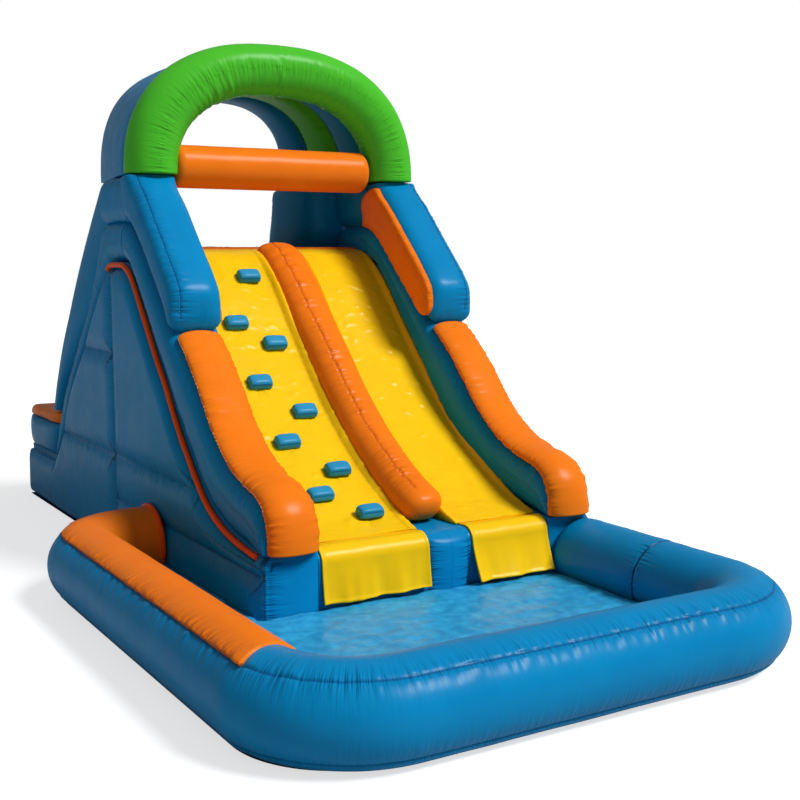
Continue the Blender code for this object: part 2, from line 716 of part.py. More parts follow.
def make_divider() -> None:
    """The padded ridge between the lanes. Its crest sinks towards the deck."""
    path = lane_edge()
    normals = normals_of(path)
    normals[-1] = Vector((0, 0, 1))
    start = next(i for i, p in enumerate(path) if p.y > LANE_FRONT + DIVIDER_NOSE)
    rows = [(path[start].lerp(path[start - 1], 0.3), normals[start]), *zip(path[start:], normals[start:])]
    top, bottom = [], []
    for index, (point, normal) in enumerate(rows):
        left = len(rows) - 1 - index
        crest = DIVIDER_TOP_CREST + (DIVIDER_CREST - DIVIDER_TOP_CREST) * min(1.0, left / 5)
        root = min(DIVIDER_ROOT, (point.z - BASE_HEIGHT - GAP) / normal.z)
        top.append(point + normal * crest)
        bottom.append(point - normal * root)
    stations = []
    for a, b in zip(top, bottom):
        place = min(range(len(path)), key=lambda i: abs(path[i].y - (a.y + b.y) / 2)) / (len(path) - 1)
        right = DIVIDER_RIGHT - GAP + DIVIDER_SPREAD * (place - 1 / len(path))
        stations += strip_stations([a], [b], DIVIDER_LEFT + GAP, right)
    rings = domed(stations, oval(14, 2.7), DIVIDER_NOSE, DIVIDER_NOSE / 4)
    chamber("lane_divider", rings, ORANGE)


def base_outline(offset: float):
    """Side view of the base's front, from its top behind the lane's end down to its foot, moved outwards."""
    radius = BASE_ROUND
    outline = [Vector((0, LANE_FRONT, BASE_HEIGHT + offset))]
    for i in range(7):
        angle = math.radians(90 + 90 * i / 6)
        reach = radius + offset
        rise = BASE_HEIGHT - radius + reach * math.sin(angle)
        outline.append(Vector((0, radius + reach * math.cos(angle), rise)))
    return outline


def make_apron(name: str, x_low: float, x_high: float, insets, stand_off: float) -> None:
    """The loose flap that carries a lane over the front of the base and hangs to the pool."""
    rows = []
    for offset in (APRON_CLOTH + 2 * GAP, 2 * GAP):
        path = base_outline(offset)
        last = path[-1]
        fall = last.z - APRON_HEM
        for i in range(1, 5):
            share = i / 4
            path.append(last + Vector((0, -stand_off * share, -fall * share)))
        rows.append(path)
    low, high = x_low + insets[0], x_high - insets[1]
    left, right = Vector((low, 0, 0)), Vector((high, 0, 0))
    rings = [[left + a, right + a, right + b, left + b] for a, b in zip(*rows)]
    hinge = rows[0][0] + Vector(((low + high) / 2, 0, 0))
    chamber(name, rings, YELLOW, hinge)


def make_holds() -> None:
    """Soft rounded holds, left and right by turns up the climbing lane."""
    path = lane_edge()
    depth = DECK_FRONT - LANE_FRONT
    section = crowned(8, 0.35, 3.0)
    lengths = lengths_of(path)
    for index, share in enumerate(HOLD_SHARES):
        y = LANE_FRONT + depth * share
        k = next(i for i in range(1, len(path)) if path[i].y >= y)
        part = (y - path[k - 1].y) / (path[k].y - path[k - 1].y)
        place = lengths[k - 1] + (lengths[k] - lengths[k - 1]) * part
        low, high = (along(path, lengths, place + HOLD_LENGTH / 2 * end) for end in (-1, 1))
        run = (high - low).normalized()
        normal = Vector((0, -run.z, run.y))
        lift = max([0.0] + [(p - low).dot(normal) for p in path if low.y < p.y < high.y]) + 2 * GAP
        x = LANE_LEFT + (HOLD_LEFT if index % 2 else HOLD_RIGHT)
        base = (low + high) / 2 + normal * lift + Vector((x, 0, 0))
        rings = []
        for across, width, height in HOLD_RINGS:
            station = Station(
                base + Vector((HOLD_WIDTH / 2 * across, 0, 0)), run * HOLD_LENGTH / 2 * width,
                normal * HOLD_HEIGHT * height,
            )
            rings.append(ring_of(station, section))
        chamber(f"climbing_hold_{index + 1}", rings, HOLD_BLUE)


def across_tower(name: str, outline, x_low: float, x_high: float, finish: Finish, ends) -> None:
    """A chamber with one side-view outline, drawn in at its ends by (distance, scale) pairs."""
    middle = sum(outline, Vector()) / len(outline)
    places = [(x_low + inward, scale) for inward, scale in ends] + [(TOWER_MIDDLE, 1.0)]
    places += [(x_high - inward, scale) for inward, scale in reversed(ends)]
    rings = [[middle + (p - middle) * scale + Vector((x, 0, 0)) for p in outline] for x, scale in places]
    chamber(name, rings, finish)


def make_base() -> None:
    """The cross chambers at the front and the back of the base, between the side walls."""
    inner_left, inner_right = WALL_WIDTH + GAP, TOWER_WIDTH - WALL_WIDTH - GAP
    front = base_outline(0)
    outline = [*front[1:], Vector((0, 0, BASE_HEIGHT / 2)), Vector((0, BASE_ROUND / 6, FLOOR))]
    outline += [Vector((0, BASE_TUBE_DEPTH, FLOOR)), Vector((0, BASE_TUBE_DEPTH, BASE_HEIGHT))]
    flat_ends = ((0.0, 1.0),)
    across_tower("base_front_tube", outline, inner_left, inner_right, SKY_BLUE, flat_ends)
    low, high = STEP_FRONT, TOWER_DEPTH
    outline = [
        Vector((0, low, FLOOR)), Vector((0, high, FLOOR)), Vector((0, high, STEP_BASE - BASE_ROUND / 2)),
        Vector((0, high - BASE_ROUND / 2, STEP_BASE)), Vector((0, low, STEP_BASE)),
    ]
    across_tower("rear_lower_tube", outline, inner_left, inner_right, SKY_BLUE, flat_ends)


def make_rear_step() -> None:
    """The step tube across the back, blue below its seam and orange above."""
    low = STEP_BASE + GAP
    back = TOWER_DEPTH + STEP_OVERHANG
    rise, cap = STEP_SEAM - low, STEP_TOP - STEP_SEAM - GAP
    blue = [
        *behind_limb(low, STEP_SEAM), Vector((0, back - STEP_OVERHANG, STEP_SEAM)),
        Vector((0, back, STEP_SEAM - 0.4 * rise)),
        Vector((0, back - STEP_OVERHANG / 2, low + 0.2 * rise)), Vector((0, back - 2 * STEP_OVERHANG, low)),
    ]
    back_seam = Vector((0, back - STEP_OVERHANG, STEP_SEAM + GAP))
    orange = [
        *behind_limb(STEP_SEAM + GAP, STEP_TOP), Vector((0, back - 0.22, STEP_TOP)),
        Vector((0, back - 0.12, STEP_TOP - 0.12 * cap)), Vector((0, back_seam.y - 0.03, STEP_TOP - 0.4 * cap)),
        back_seam,
    ]
    ends = ((0.0, 0.84), (0.018, 0.95), (0.06, 1.0))
    low_x, high_x = -STEP_OVERHANG, TOWER_WIDTH + STEP_OVERHANG
    across_tower("rear_step_tube", blue, low_x, high_x, SKY_BLUE, ends)
    across_tower("rear_step_top", orange, low_x, high_x, ORANGE, ends)


def make_deck() -> None:
    """The deck at the top of the lanes. It narrows between the legs."""
    top = DECK_HEIGHT + DECK_LIP
    bottom = DECK_HEIGHT - DECK_THICKNESS
    neck = behind_limb(bottom, top)[-1].y - 6 * GAP
    inset = LEG_INNER - WALL_WIDTH + 2 * GAP
    rows = (
        (DECK_FRONT, 0.0, DECK_LIP), (DECK_FRONT + DECK_LIP, 0.0, 0.0), (neck - DECK_LIP, 0.0, 0.0),
        (neck, inset, 0.0), (DECK_FRONT + DECK_DEPTH, inset, 0.0),
    )
    rings = []
    for y, inside, drop in rows:
        low, high = WALL_WIDTH + inside, TOWER_WIDTH - WALL_WIDTH - inside
        rings.append([
            Vector((low, y, bottom)), Vector((high, y, bottom)), Vector((high, y, top - drop)),
            Vector((low, y, top - drop)),
        ])
    chamber("deck", rings, ORANGE)


def make_rear_wall() -> None:
    """The upright chamber that closes the back between the legs, from the rear step to the deck."""
    foot = STEP_TOP + GAP
    crown = DECK_HEIGHT - DECK_THICKNESS - 4 * GAP
    back = DECK_FRONT + DECK_DEPTH
    toe = STEP_FRONT + REAR_INSET
    rear = [Vector((0, toe + (back - toe) * s, foot + (crown - foot) * s)) for s in (0, 0.25, 0.5, 0.75, 1)]
    front = [p - Vector((0, DECK_THICKNESS + WALL_BULGE, 0)) for p in rear]
    stations = strip_stations(rear, front, LEG_INNER + GAP, TOWER_WIDTH - LEG_INNER - GAP)
    chamber("rear_wall", domed(stations, oval(16, 6), 0, 0), SKY_BLUE)


def arch_point(angle: float, half_span: float, rise: float, power: float) -> Vector:
    """A point of a flattened arch, in its own plane, from the right foot at 0 to the left foot at pi."""
    c, s = math.cos(angle), abs(math.sin(angle))
    size = (abs(c) ** power + s ** power) ** (-1 / power)
    return Vector((c * size * half_span, 0, s * size * rise))


def front_arch(angle: float, depth: float, y: float) -> Vector:
    """A point of the front band's arch, a depth under its outer face."""
    point = arch_point(angle, TOWER_MIDDLE - depth, ARCH_RISE - depth, ARCH_POWER)
    return point + Vector((TOWER_MIDDLE, y, SHOULDER_HEIGHT))


def vault(angle: float, depth: float, y: float) -> Vector:
    """A point of the vault behind the front band, a depth under its outer face. It narrows to the back."""
    near = ROOF_INSET + depth
    front = arch_point(angle, TOWER_MIDDLE - near, ARCH_RISE - near, ARCH_POWER)
    side, top = REAR_INSET + depth, near + ROOF_DROP
    back = arch_point(angle, TOWER_MIDDLE - side, ARCH_RISE - top, REAR_ARCH_POWER)
    point = front.lerp(back, (y - VAULT_START) / (VAULT_END - VAULT_START))
    return point + Vector((TOWER_MIDDLE, y, SHOULDER_HEIGHT))


def arch_shell(name: str, shape, y_low: float, y_high: float, depths, finish: Finish, section) -> None:
    """A band of an arch between two places front to back and two depths under the arch's outer face."""
    stations = []
    for i in range(ARCH_STATIONS):
        angle = math.pi * i / (ARCH_STATIONS - 1)
        outer_a, inner_a, outer_b, inner_b = (shape(angle, d, y) for y in (y_low, y_high) for d in depths)
        centre = (outer_a + inner_a + outer_b + inner_b) / 4
        across = (outer_b + inner_b - outer_a - inner_a) / 4
        stations.append(Station(centre, across, (outer_a + outer_b - inner_a - inner_b) / 4))
    chamber(name, domed(stations, section, HEAD_DOME / 2, HEAD_DOME / 2), finish)


def make_arch() -> None:
    """The front band of the arch, the roof behind it, and the lining bands under the roof."""
    low, high = FRONT_BAND_CENTRE - BAND_DEPTH / 2, FRONT_BAND_CENTRE + BAND_DEPTH / 2
    thick = (0.0, FRONT_BAND_THICKNESS)
    arch_shell("arch_front_band", front_arch, low, high, thick, GREEN, oval(14, 2.1))
    roof = (0.0, ROOF_THICKNESS)
    arch_shell("arch_roof", vault, VAULT_START, VAULT_END, roof, SKY_BLUE, oval(12, 3.2))
    under = ROOF_THICKNESS + LINING_CLEARANCE
    for index, (finish, growth) in enumerate(LININGS):
        near = VAULT_START + (LINING_DEPTH + GAP) * index
        depths = (under, under + LINING_THICKNESS * growth)
        name = f"arch_lining_{index + 1}"
        arch_shell(name, vault, near, near + LINING_DEPTH, depths, finish, oval(10, 2.6))
    foot = FRONT_BAND_THICKNESS + BAR_CLEARANCE
    ends = [
        Station(Vector((x, BAR_CENTRE, BAR_HEIGHT)), Vector((0, BAR_RADIUS, 0)), Vector((0, 0, BAR_RADIUS)))
        for x in (foot, TOWER_WIDTH - foot)
    ]
    stations = [between(*ends, i / 3) for i in range(4)]
    chamber("crossbar", domed(stations, oval(14, 2), HEAD_DOME, HEAD_DOME), ORANGE)


def corner(x: float, y: float, radius: float, start: float, end: float, steps: int):
    """Points round a corner in plan, from one compass angle to another, in degrees."""
    points = []
    for i in range(steps + 1):
        angle = math.radians(start + (end - start) * i / steps)
        points.append(Vector((x + radius * math.cos(angle), y + radius * math.sin(angle), 0)))
    return points


def plan_stations(path, first=None, last=None):
    """Upright stations along a path in plan, each facing along it. The slants lean the end sections."""
    stations = []
    for i, point in enumerate(path):
        run = (path[min(i + 1, len(path) - 1)] - path[max(i - 1, 0)]).normalized()
        side = Vector((run.y, -run.x, 0)) * TUBE_RADIUS
        centre = Vector((point.x, point.y, TUBE_CENTRE_HEIGHT))
        stations.append(Station(centre, side, Vector((0, 0, TUBE_RADIUS))))
    if first:
        stations[0] = stations[0]._replace(across=first)
    if last:
        stations[-1] = stations[-1]._replace(across=last)
    return stations


def sector(start: float, end: float, steps: int):
    """A unit cross-section between two angles, in degrees, kept half a gap from its flat sides."""
    trim = math.degrees(GAP / TUBE_RADIUS)
    bisector = math.radians((start + end) / 2)
    shift = GAP / TUBE_RADIUS / abs(math.sin(math.radians((end - start) / 2)))
    points = [(shift * math.cos(bisector), shift * math.sin(bisector))]
    for i in range(steps + 1):
        angle = math.radians(start + trim + (end - start - 2 * trim) * i / steps)
        points.append((math.cos(angle), math.sin(angle)))
    return points


def make_pool_left() -> None:
    """The left arm of the pool, from the tower's side round the rear corner to the front: blue outside
    and below, with an orange panel over its top and inner side."""
    radius = REAR_CORNER
    path = [Vector((-WALL_BULGE - 2 * GAP, POOL_REAR, 0))]
    path += corner(POOL_LEFT + radius, POOL_REAR - radius, radius, 90, 180, 7)
    low, high = PANEL_END, path[-1].y
    path += [Vector((POOL_LEFT, high + (low - high) * i / 4, 0)) for i in range(1, 5)]
    # Along the path the outer side of the tube lies at angle 0 and its top at 90
    stations = plan_stations(path, last=Vector((-TUBE_RADIUS, -PANEL_SLANT, 0)))
    top = [ring_of(s, sector(*PANEL_SECTOR, 8)) for s in stations]
    body = [ring_of(s, sector(PANEL_SECTOR[1] - 360, PANEL_SECTOR[0], 11)) for s in stations]
    chamber("pool_left_top", flattened(top, FLOOR), ORANGE)
    chamber("pool_left_tube", flattened(body, FLOOR), SKY_BLUE)


def make_pool_front() -> None:
    """The front arm with both front corners, and the right arm up to the tower."""
    radius = POOL_CORNER
    low_y = POOL_FRONT + radius
    arc = corner(POOL_LEFT + radius, low_y, radius, 180, 270, 8)
    path = [Vector((POOL_LEFT, PANEL_END - GAP, 0))]
    path += [p for p in arc if p.y < PANEL_END - PANEL_SLANT]
    left, right = path[-1].x, POOL_RIGHT - radius
    path += [Vector((left + (right - left) * s, POOL_FRONT, 0)) for s in (0.33, 0.67)]
    path += corner(POOL_RIGHT - radius, low_y, radius, 270, 360, 8)
    path.append(Vector((POOL_RIGHT, RIGHT_TUBE_START - GAP, 0)))
    seam = Vector((-TUBE_RADIUS, -PANEL_SLANT, 0))
    rings = [ring_of(s, oval(18, 2)) for s in plan_stations(path, first=seam)]
    chamber("pool_front_tube", flattened(rings, FLOOR), SKY_BLUE)
    end = -2 * GAP
    run = end - RIGHT_TUBE_START
    path = [Vector((POOL_RIGHT, RIGHT_TUBE_START + run * s, 0)) for s in (0, 0.33, 0.67, 1)]
    rings = domed(plan_stations(path), oval(18, 2), 0, WALL_BULGE)
    chamber("pool_right_tube", flattened(rings, FLOOR), SKY_BLUE)


def make_collar() -> None:
    """The piped collar where the pool's rear arm meets the side wall."""
    start, end = COLLAR_ARC
    steps = 14
    half_step = math.radians((end - start) / steps / 2)
    radius = (TUBE_RADIUS + GAP) / math.cos(half_step) + COLLAR_RADIUS
    stations = []
    for i in range(steps + 1):
        angle = math.radians(start + (end - start) * i / steps)
        out = Vector((0, math.cos(angle), math.sin(angle)))
        hub = Vector((-WALL_BULGE - COLLAR_RADIUS - 2 * GAP, POOL_REAR, TUBE_CENTRE_HEIGHT))
        centre = hub + out * radius
        stations.append(Station(centre, Vector((COLLAR_RADIUS, 0, 0)), out * COLLAR_RADIUS))
    chamber("pool_collar", domed(stations, oval(8, 2), COLLAR_RADIUS, COLLAR_RADIUS), PIPING_RED)


def prism(name: str, outline, z_low: float, z_high: float, finish: Finish) -> None:
    """An upright solid over a plan outline that runs anticlockwise."""
    count = len(outline)
    points = [Vector((p.x, p.y, z)) for z in (z_low, z_high) for p in outline]
    faces = [tuple(reversed(range(count))), tuple(range(count, 2 * count))]
    faces += [(i, (i + 1) % count, count + (i + 1) % count, count + i) for i in range(count)]
    add_object(name, points, faces, finish)


def make_floor() -> None:
    """The padded pool floor inside the ring, with a bay beside the tower, and the sheet under it all."""
    edge = TUBE_RADIUS + RING_CLEARANCE
    left, right = POOL_LEFT + edge, POOL_RIGHT - edge
    front, rear = POOL_FRONT + edge, POOL_REAR - edge
    radius = POOL_CORNER - edge
    tower_side, tower_front = -WALL_BULGE - FLOOR_CLEARANCE, -BOLSTER_EDGE
    outline = corner(left + radius, front + radius, radius, 180, 270, 5)
    outline += corner(right - radius, front + radius, radius, 270, 360, 5)
    outline += [Vector((right, tower_front, 0)), Vector((tower_side, tower_front, 0))]
    outline.append(Vector((tower_side, rear, 0)))
    radius = REAR_CORNER - edge
    outline += corner(left + radius, rear - radius, radius, 90, 180, 4)
    prism("pool_floor", outline, FLOOR, FLOOR_TOP, SKY_BLUE)
    reach = TUBE_RADIUS / 2
    left, front, right = POOL_LEFT - reach, POOL_FRONT - reach / 4, POOL_RIGHT + reach
    radius = POOL_CORNER + reach / 2
    side = WALL_BULGE / 2
    outline = corner(left + radius, front + radius, radius, 180, 270, 6)
    outline += corner(right - radius, front + radius, radius, 270, 360, 6)
    outline += [
        Vector((right, -RING_CLEARANCE, 0)), Vector((TOWER_WIDTH + side, 0, 0)),
        Vector((TOWER_WIDTH + side, TOWER_DEPTH - side, 0)), Vector((-side, TOWER_DEPTH - side, 0)),
        Vector((-side, POOL_REAR + reach, 0)),
    ]
    radius = REAR_CORNER + reach / 2
    outline += corner(left + radius, POOL_REAR + reach - radius, radius, 90, 180, 5)
    prism("ground_sheet", outline, 0, GROUND_SHEET, GROUND_BLUE)


def looped(name: str, loops, finish: Finish, origin=Vector()) -> None:
    """A solid round a hole: loops of as many points each, joined in turn and back to the first."""
    count = len(loops[0])
    points = [p for loop in loops for p in loop]
    faces = []
    for row in range(len(loops)):
        after = (row + 1) % len(loops)
        for i in range(count):
            j = (i + 1) % count
            faces.append((row * count + i, row * count + j, after * count + j, after * count + i))
    if signed_volume(points, faces) < 0:
        faces = [tuple(reversed(face)) for face in faces]
    add_object(name, points, faces, finish, origin)


def round_loop(centre: Vector, radius: float, count: int):
    """A circle that faces along Y."""
    loop = []
    for i in range(count):
        angle = 2 * math.pi * i / count
        loop.append(centre + Vector((radius * math.cos(angle), 0, radius * math.sin(angle))))
    return loop


def open_tube(name: str, centre: Vector, radius: float, wall: float, length: float, finish: Finish) -> None:
    """A tube open at both ends, from its centre towards +Y."""
    far = centre + Vector((0, length, 0))
    rows = ((centre, radius), (far, radius), (far, radius - wall), (centre, radius - wall))
    looped(name, [round_loop(place, size, 20) for place, size in rows], finish)


def make_back_fittings() -> None:
    """The blower sleeve and the deflation vent with its hinged cap, on the back of the base."""
    back = TOWER_DEPTH + GAP
    sleeve = Vector((SLEEVE_PLACE, back, FITTING_HEIGHT))
    open_tube("blower_sleeve", sleeve, SLEEVE_RADIUS, SLEEVE_WALL, SLEEVE_LENGTH, SKY_BLUE)
    vent = Vector((VENT_PLACE, back, FITTING_HEIGHT))
    open_tube("vent_ring", vent, VENT_RADIUS, VENT_WALL, VENT_LENGTH, HOLD_BLUE)
    face = back + VENT_LENGTH + GAP
    hinge = Vector((VENT_PLACE, face, FITTING_HEIGHT + VENT_RADIUS))
    middle = Vector((VENT_PLACE, face, FITTING_HEIGHT))
    rim = VENT_RADIUS - CAP_THICKNESS / 2
    rows = ((0.0, VENT_RADIUS), (CAP_THICKNESS * 0.7, VENT_RADIUS), (CAP_THICKNESS, rim))
    rings = [round_loop(middle + Vector((0, y, 0)), size, 20) for y, size in rows]
    chamber("vent_cap", rings, HOLD_BLUE, hinge)


def make_anchors() -> None:
    """A webbing tab low on each back corner, with a steel ring hanging from it."""
    back = TOWER_DEPTH + GAP
    hole = TAB_THICKNESS
    count = 16
    for side, x in (("left", TAB_PLACE), ("right", TOWER_WIDTH - TAB_PLACE)):
        eye = Vector((x, back + hole, TAB_LEVEL))
        outer, inner = [], []
        for i in range(count):
            angle = 2 * math.pi * i / count
            out = Vector((0, math.cos(angle), math.sin(angle)))
            inner.append(out * EYE_RADIUS)
            reach = EYE_RADIUS + TAB_SKIN
            if out.y < 0:
                reach = min(hole / -out.y, TAB_HEIGHT if out.z > 0 else hole + TAB_SKIN)
            outer.append(out * reach)
        loops = []
        for shape, offset in ((outer, -1), (outer, 1), (inner, 1), (inner, -1)):
            loops.append([eye + p + Vector((TAB_WIDTH / 2 * offset, 0, 0)) for p in shape])
        looped(f"anchor_tab_{side}", loops, WEBBING)
        looped(f"anchor_ring_{side}", ring_loops(eye), STEEL, eye)


def ring_loops(eye: Vector):
    """Sections round a D-shaped ring whose straight side passes through the eye."""
    half = RING_WIDTH / 2
    bow = RING_DROP - half
    path = [Vector((x * half, 0, 0)) for x in (-0.7, -0.2, 0.2, 0.7)]
    path += [Vector((half, 0, -RING_ROD))]
    for i in range(9):
        angle = math.radians(-180 * i / 8)
        path.append(Vector((half * math.cos(angle), 0, -bow + half * math.sin(angle))))
    path.append(Vector((-half, 0, -RING_ROD)))
    loops = []
    for i, point in enumerate(path):
        run = (path[(i + 1) % len(path)] - path[i - 1]).normalized()
        side = Vector((run.z, 0, -run.x))
        loop = []
        for k in range(8):
            angle = 2 * math.pi * k / 8
            out = side * math.cos(angle) + Vector((0, math.sin(angle), 0))
            loop.append(eye + point + out * RING_ROD)
        loops.append(loop)
    return loops


def stand_on_centre() -> None:
    """Every piece rides on one empty, which brings the middle of the base to the scene's origin."""
    pieces = [thing for thing in bpy.context.scene.objects if thing.type == "MESH"]
    corners = [thing.location + v.co for thing in pieces for v in thing.data.vertices]
    low = Vector(min(p[i] for p in corners) for i in range(3))
    high = Vector(max(p[i] for p in corners) for i in range(3))
    frame = bpy.data.objects.new("slide_frame", None)
    bpy.context.scene.collection.objects.link(frame)
    frame.location = Vector((-(low.x + high.x) / 2, -(low.y + high.y) / 2, -low.z))
    for piece in pieces:
        piece.parent = frame


def main() -> None:
    clear_scene()
    make_floor()
    make_pool_left()
    make_pool_front()
    make_collar()
    make_base()
    make_side_walls()
    make_side_piping()
    make_limbs()
    make_bolsters()
    make_heads()
    make_lintels()
    make_legs()
    make_rear_step()
    make_rear_wall()
    make_deck()
    make_lane("climbing_lane", LANE_LEFT, DIVIDER_LEFT, 0)
    make_lane("slide_lane", DIVIDER_RIGHT, LANE_RIGHT, DIVIDER_SPREAD)
    make_divider()
    make_apron("climbing_apron", LANE_LEFT, DIVIDER_LEFT, CLIMB_APRON_INSETS, CLIMB_STAND_OFF)
    make_apron("slide_apron", DIVIDER_RIGHT, LANE_RIGHT, SLIDE_APRON_INSETS, SLIDE_STAND_OFF)
    make_holds()
    make_arch()
    make_back_fittings()
    make_anchors()
    stand_on_centre()


main()
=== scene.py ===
"""Looks of the inflatable water slide: each air chamber is a seamed, puckered skin of coated cloth.

Shapes are worked out in the tower's own axes, in metres: +X across from its left side, +Y from the
front face of its base to the back, +Z up. One shift brings them into the frame.
"""

import itertools
import logging
import math
from dataclasses import dataclass, field, replace
from enum import Enum
from functools import cache
from typing import Callable, Sequence

import bpy
import numpy as np
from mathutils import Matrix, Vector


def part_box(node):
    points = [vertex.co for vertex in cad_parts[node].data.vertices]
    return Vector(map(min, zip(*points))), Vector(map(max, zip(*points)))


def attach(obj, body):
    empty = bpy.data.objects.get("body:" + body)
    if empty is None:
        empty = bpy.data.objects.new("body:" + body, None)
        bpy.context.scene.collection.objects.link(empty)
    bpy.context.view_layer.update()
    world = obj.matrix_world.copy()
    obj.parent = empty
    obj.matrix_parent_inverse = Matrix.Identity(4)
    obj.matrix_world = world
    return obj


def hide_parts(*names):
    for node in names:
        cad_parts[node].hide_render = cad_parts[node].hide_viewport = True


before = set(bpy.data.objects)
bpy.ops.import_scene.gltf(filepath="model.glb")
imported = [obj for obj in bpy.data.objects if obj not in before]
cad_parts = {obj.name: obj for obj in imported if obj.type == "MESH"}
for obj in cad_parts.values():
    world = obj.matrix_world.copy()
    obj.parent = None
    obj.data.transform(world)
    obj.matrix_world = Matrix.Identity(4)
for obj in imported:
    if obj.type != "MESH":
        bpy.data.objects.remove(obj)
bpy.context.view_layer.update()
LOG = logging.getLogger("water_slide")

Curve = np.ndarray  # (count, 2) points of a side view, as (y, z)
Rings = np.ndarray  # (stations, columns, 3)
Level = float | np.ndarray  # one number, or one for each station
Tree = bpy.types.NodeTree
Socket = bpy.types.NodeSocket

GAP = 0.0003
FLOOR = 0.0063
TURN = 2 * math.pi
# Added to a seam's distance where the seam has no pinch: it drops the painted dark line in the seam, weakens
# the painted shade beside it and softens the folds there
HIDDEN_SEAM = 0.012
SEAM_TRIM = 8
TOWER_BODY = "tower"

# Outlines, as (share of depth, share of rise)
LANE_SHARES = (
    (0.0, 0.0), (0.06, 0.023), (0.12, 0.052), (0.24, 0.130), (0.36, 0.230), (0.48, 0.356),
    (0.60, 0.508), (0.71, 0.663), (0.81, 0.811), (0.89, 0.916), (0.945, 0.972), (1.0, 1.0),
)
WALL_FRONT_SHARES = (
    (0.0, 0.0), (0.004, 0.060), (0.022, 0.120), (0.066, 0.161), (0.159, 0.190), (0.254, 0.238),
    (0.353, 0.325), (0.437, 0.430), (0.524, 0.530), (0.610, 0.612), (0.710, 0.732), (0.789, 0.820),
    (0.871, 0.912), (0.940, 0.974), (1.0, 1.0),
)
PANEL_EDGE_SHARES = (
    (0.0, 0.0), (0.104, 0.008), (0.229, 0.035), (0.328, 0.084), (0.396, 0.144), (0.500, 0.278),
    (0.573, 0.384), (0.646, 0.514), (0.722, 0.627), (0.800, 0.757), (0.881, 0.887), (0.938, 0.965),
    (1.0, 1.0),
)
REAR_INNER_SHARES = (
    (0.0, 1.0), (0.15, 0.996), (0.205, 0.955), (0.335, 0.825), (0.545, 0.590), (0.72, 0.388),
    (0.88, 0.138), (1.0, 0.0),
)
REAR_OUTER_SHARES = (
    (0.0, 1.0), (0.20, 1.0), (0.262, 0.985), (0.31, 0.905), (0.36, 0.81), (0.45, 0.685), (0.68, 0.455),
    (0.88, 0.243), (1.0, 0.0),
)
HEAD_FRONT_SHARES = (
    (0.077, 0.005), (0.035, 0.03), (0.0, 0.139), (0.0, 0.258), (0.077, 0.364), (0.301, 0.576),
    (0.58, 0.841), (0.776, 1.0),
)
LEG_REAR_SHARES = ((0.0, 1.0), (0.16, 0.80), (0.42, 0.52), (0.72, 0.25), (0.90, 0.09), (1.0, 0.0))
LANE_CROSS_SHARES = (
    (-1.0, 1.0), (-0.95, 0.85), (-0.90, 0.15), (-0.86, 0.0), (0.86, 0.0), (0.90, 0.15), (0.95, 0.85),
    (1.0, 1.0),
)
HOLD_SHARES = (0.094, 0.188, 0.274, 0.386, 0.474, 0.565, 0.668, 0.729, 0.856)


@dataclass(frozen=True)
class Tower:
    """Main sizes of the tower."""

    width: float = 1.62
    wall: float = 0.225
    climb_width: float = 0.53
    divider_width: float = 0.205
    depth: float = 3.54
    cheek_depth: float = 1.62
    lane_front: float = 0.10
    deck_front: float = 1.74
    deck_depth: float = 0.80
    leg_front: float = 1.99
    leg_depth: float = 0.56
    leg_inner: float = 0.425
    step_front: float = 2.98
    base_height: float = 0.346
    step_base: float = 0.325
    step_seam: float = 0.522
    step_top: float = 0.592
    deck_height: float = 1.555
    deck_thickness: float = 0.13
    deck_lip: float = 0.012
    head_foot: float = 1.17
    lintel_bottom: float = 1.70
    shoulder: float = 1.92
    panel_top: float = 1.49
    wall_bulge: float = 0.045
    limb_bulge: float = 0.020
    apron_cloth: float = 0.008
    rear_inset: float = 0.165

    @property
    def lane_left(self) -> float:
        """Left edge of the climbing lane."""
        return self.wall

    @property
    def divider_left(self) -> float:
        """Left edge of the divider."""
        return self.wall + self.climb_width

    @property
    def divider_right(self) -> float:
        """Right edge of the divider at its foot."""
        return self.divider_left + self.divider_width

    @property
    def lane_right(self) -> float:
        """Right edge of the slide lane."""
        return self.width - self.wall

    @property
    def crown(self) -> float:
        """Top of the heads, the lintels and the rear legs, just under the arch."""
        return self.shoulder - 2 * GAP

    def front_edge(self) -> Curve:
        """Where the bolster and the head lie on the front limb, from the base up."""
        low, high = (0.0, self.base_height), (self.cheek_depth, self.lintel_bottom)
        return side_curve(WALL_FRONT_SHARES, low, high)

    def panel_edge(self) -> Curve:
        """Where the front limb lies on the side wall, from the base up."""
        return side_curve(PANEL_EDGE_SHARES, (0.0, self.base_height), (self.cheek_depth, self.panel_top))

    def rear_inner_edge(self) -> Curve:
        """Where the rear limb lies on the side wall, from the top down."""
        low = (self.cheek_depth, self.step_base)
        return side_curve(REAR_INNER_SHARES, low, (self.step_front - self.wall_bulge, self.panel_top))

    def rear_outer_edge(self) -> Curve:
        """The back of the rear limb, from the top down."""
        low = (self.cheek_depth, self.step_base)
        edge = side_curve(REAR_OUTER_SHARES, low, (self.step_front, self.lintel_bottom))
        return np.column_stack([edge[:, 0], np.minimum(edge[:, 1], self.lintel_bottom - GAP)])

    def lane_edge(self) -> Curve:
        """The surface of the lanes along their middle, from the front up to the deck."""
        low = (self.lane_front + GAP, self.base_height + self.apron_cloth + 2 * GAP)
        return side_curve(LANE_SHARES, low, (self.deck_front - GAP, self.deck_height))


def origin_of(tower: Tower) -> np.ndarray:
    """Where the tower's own origin lies in the frame."""
    low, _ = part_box("base_front_tube")
    return np.array([low.x - tower.wall - GAP, low.y, 0.0])


ORIGIN = origin_of(Tower())


class Side(Enum):
    """The two sides of the tower."""

    LEFT = "left"
    RIGHT = "right"


# Curves


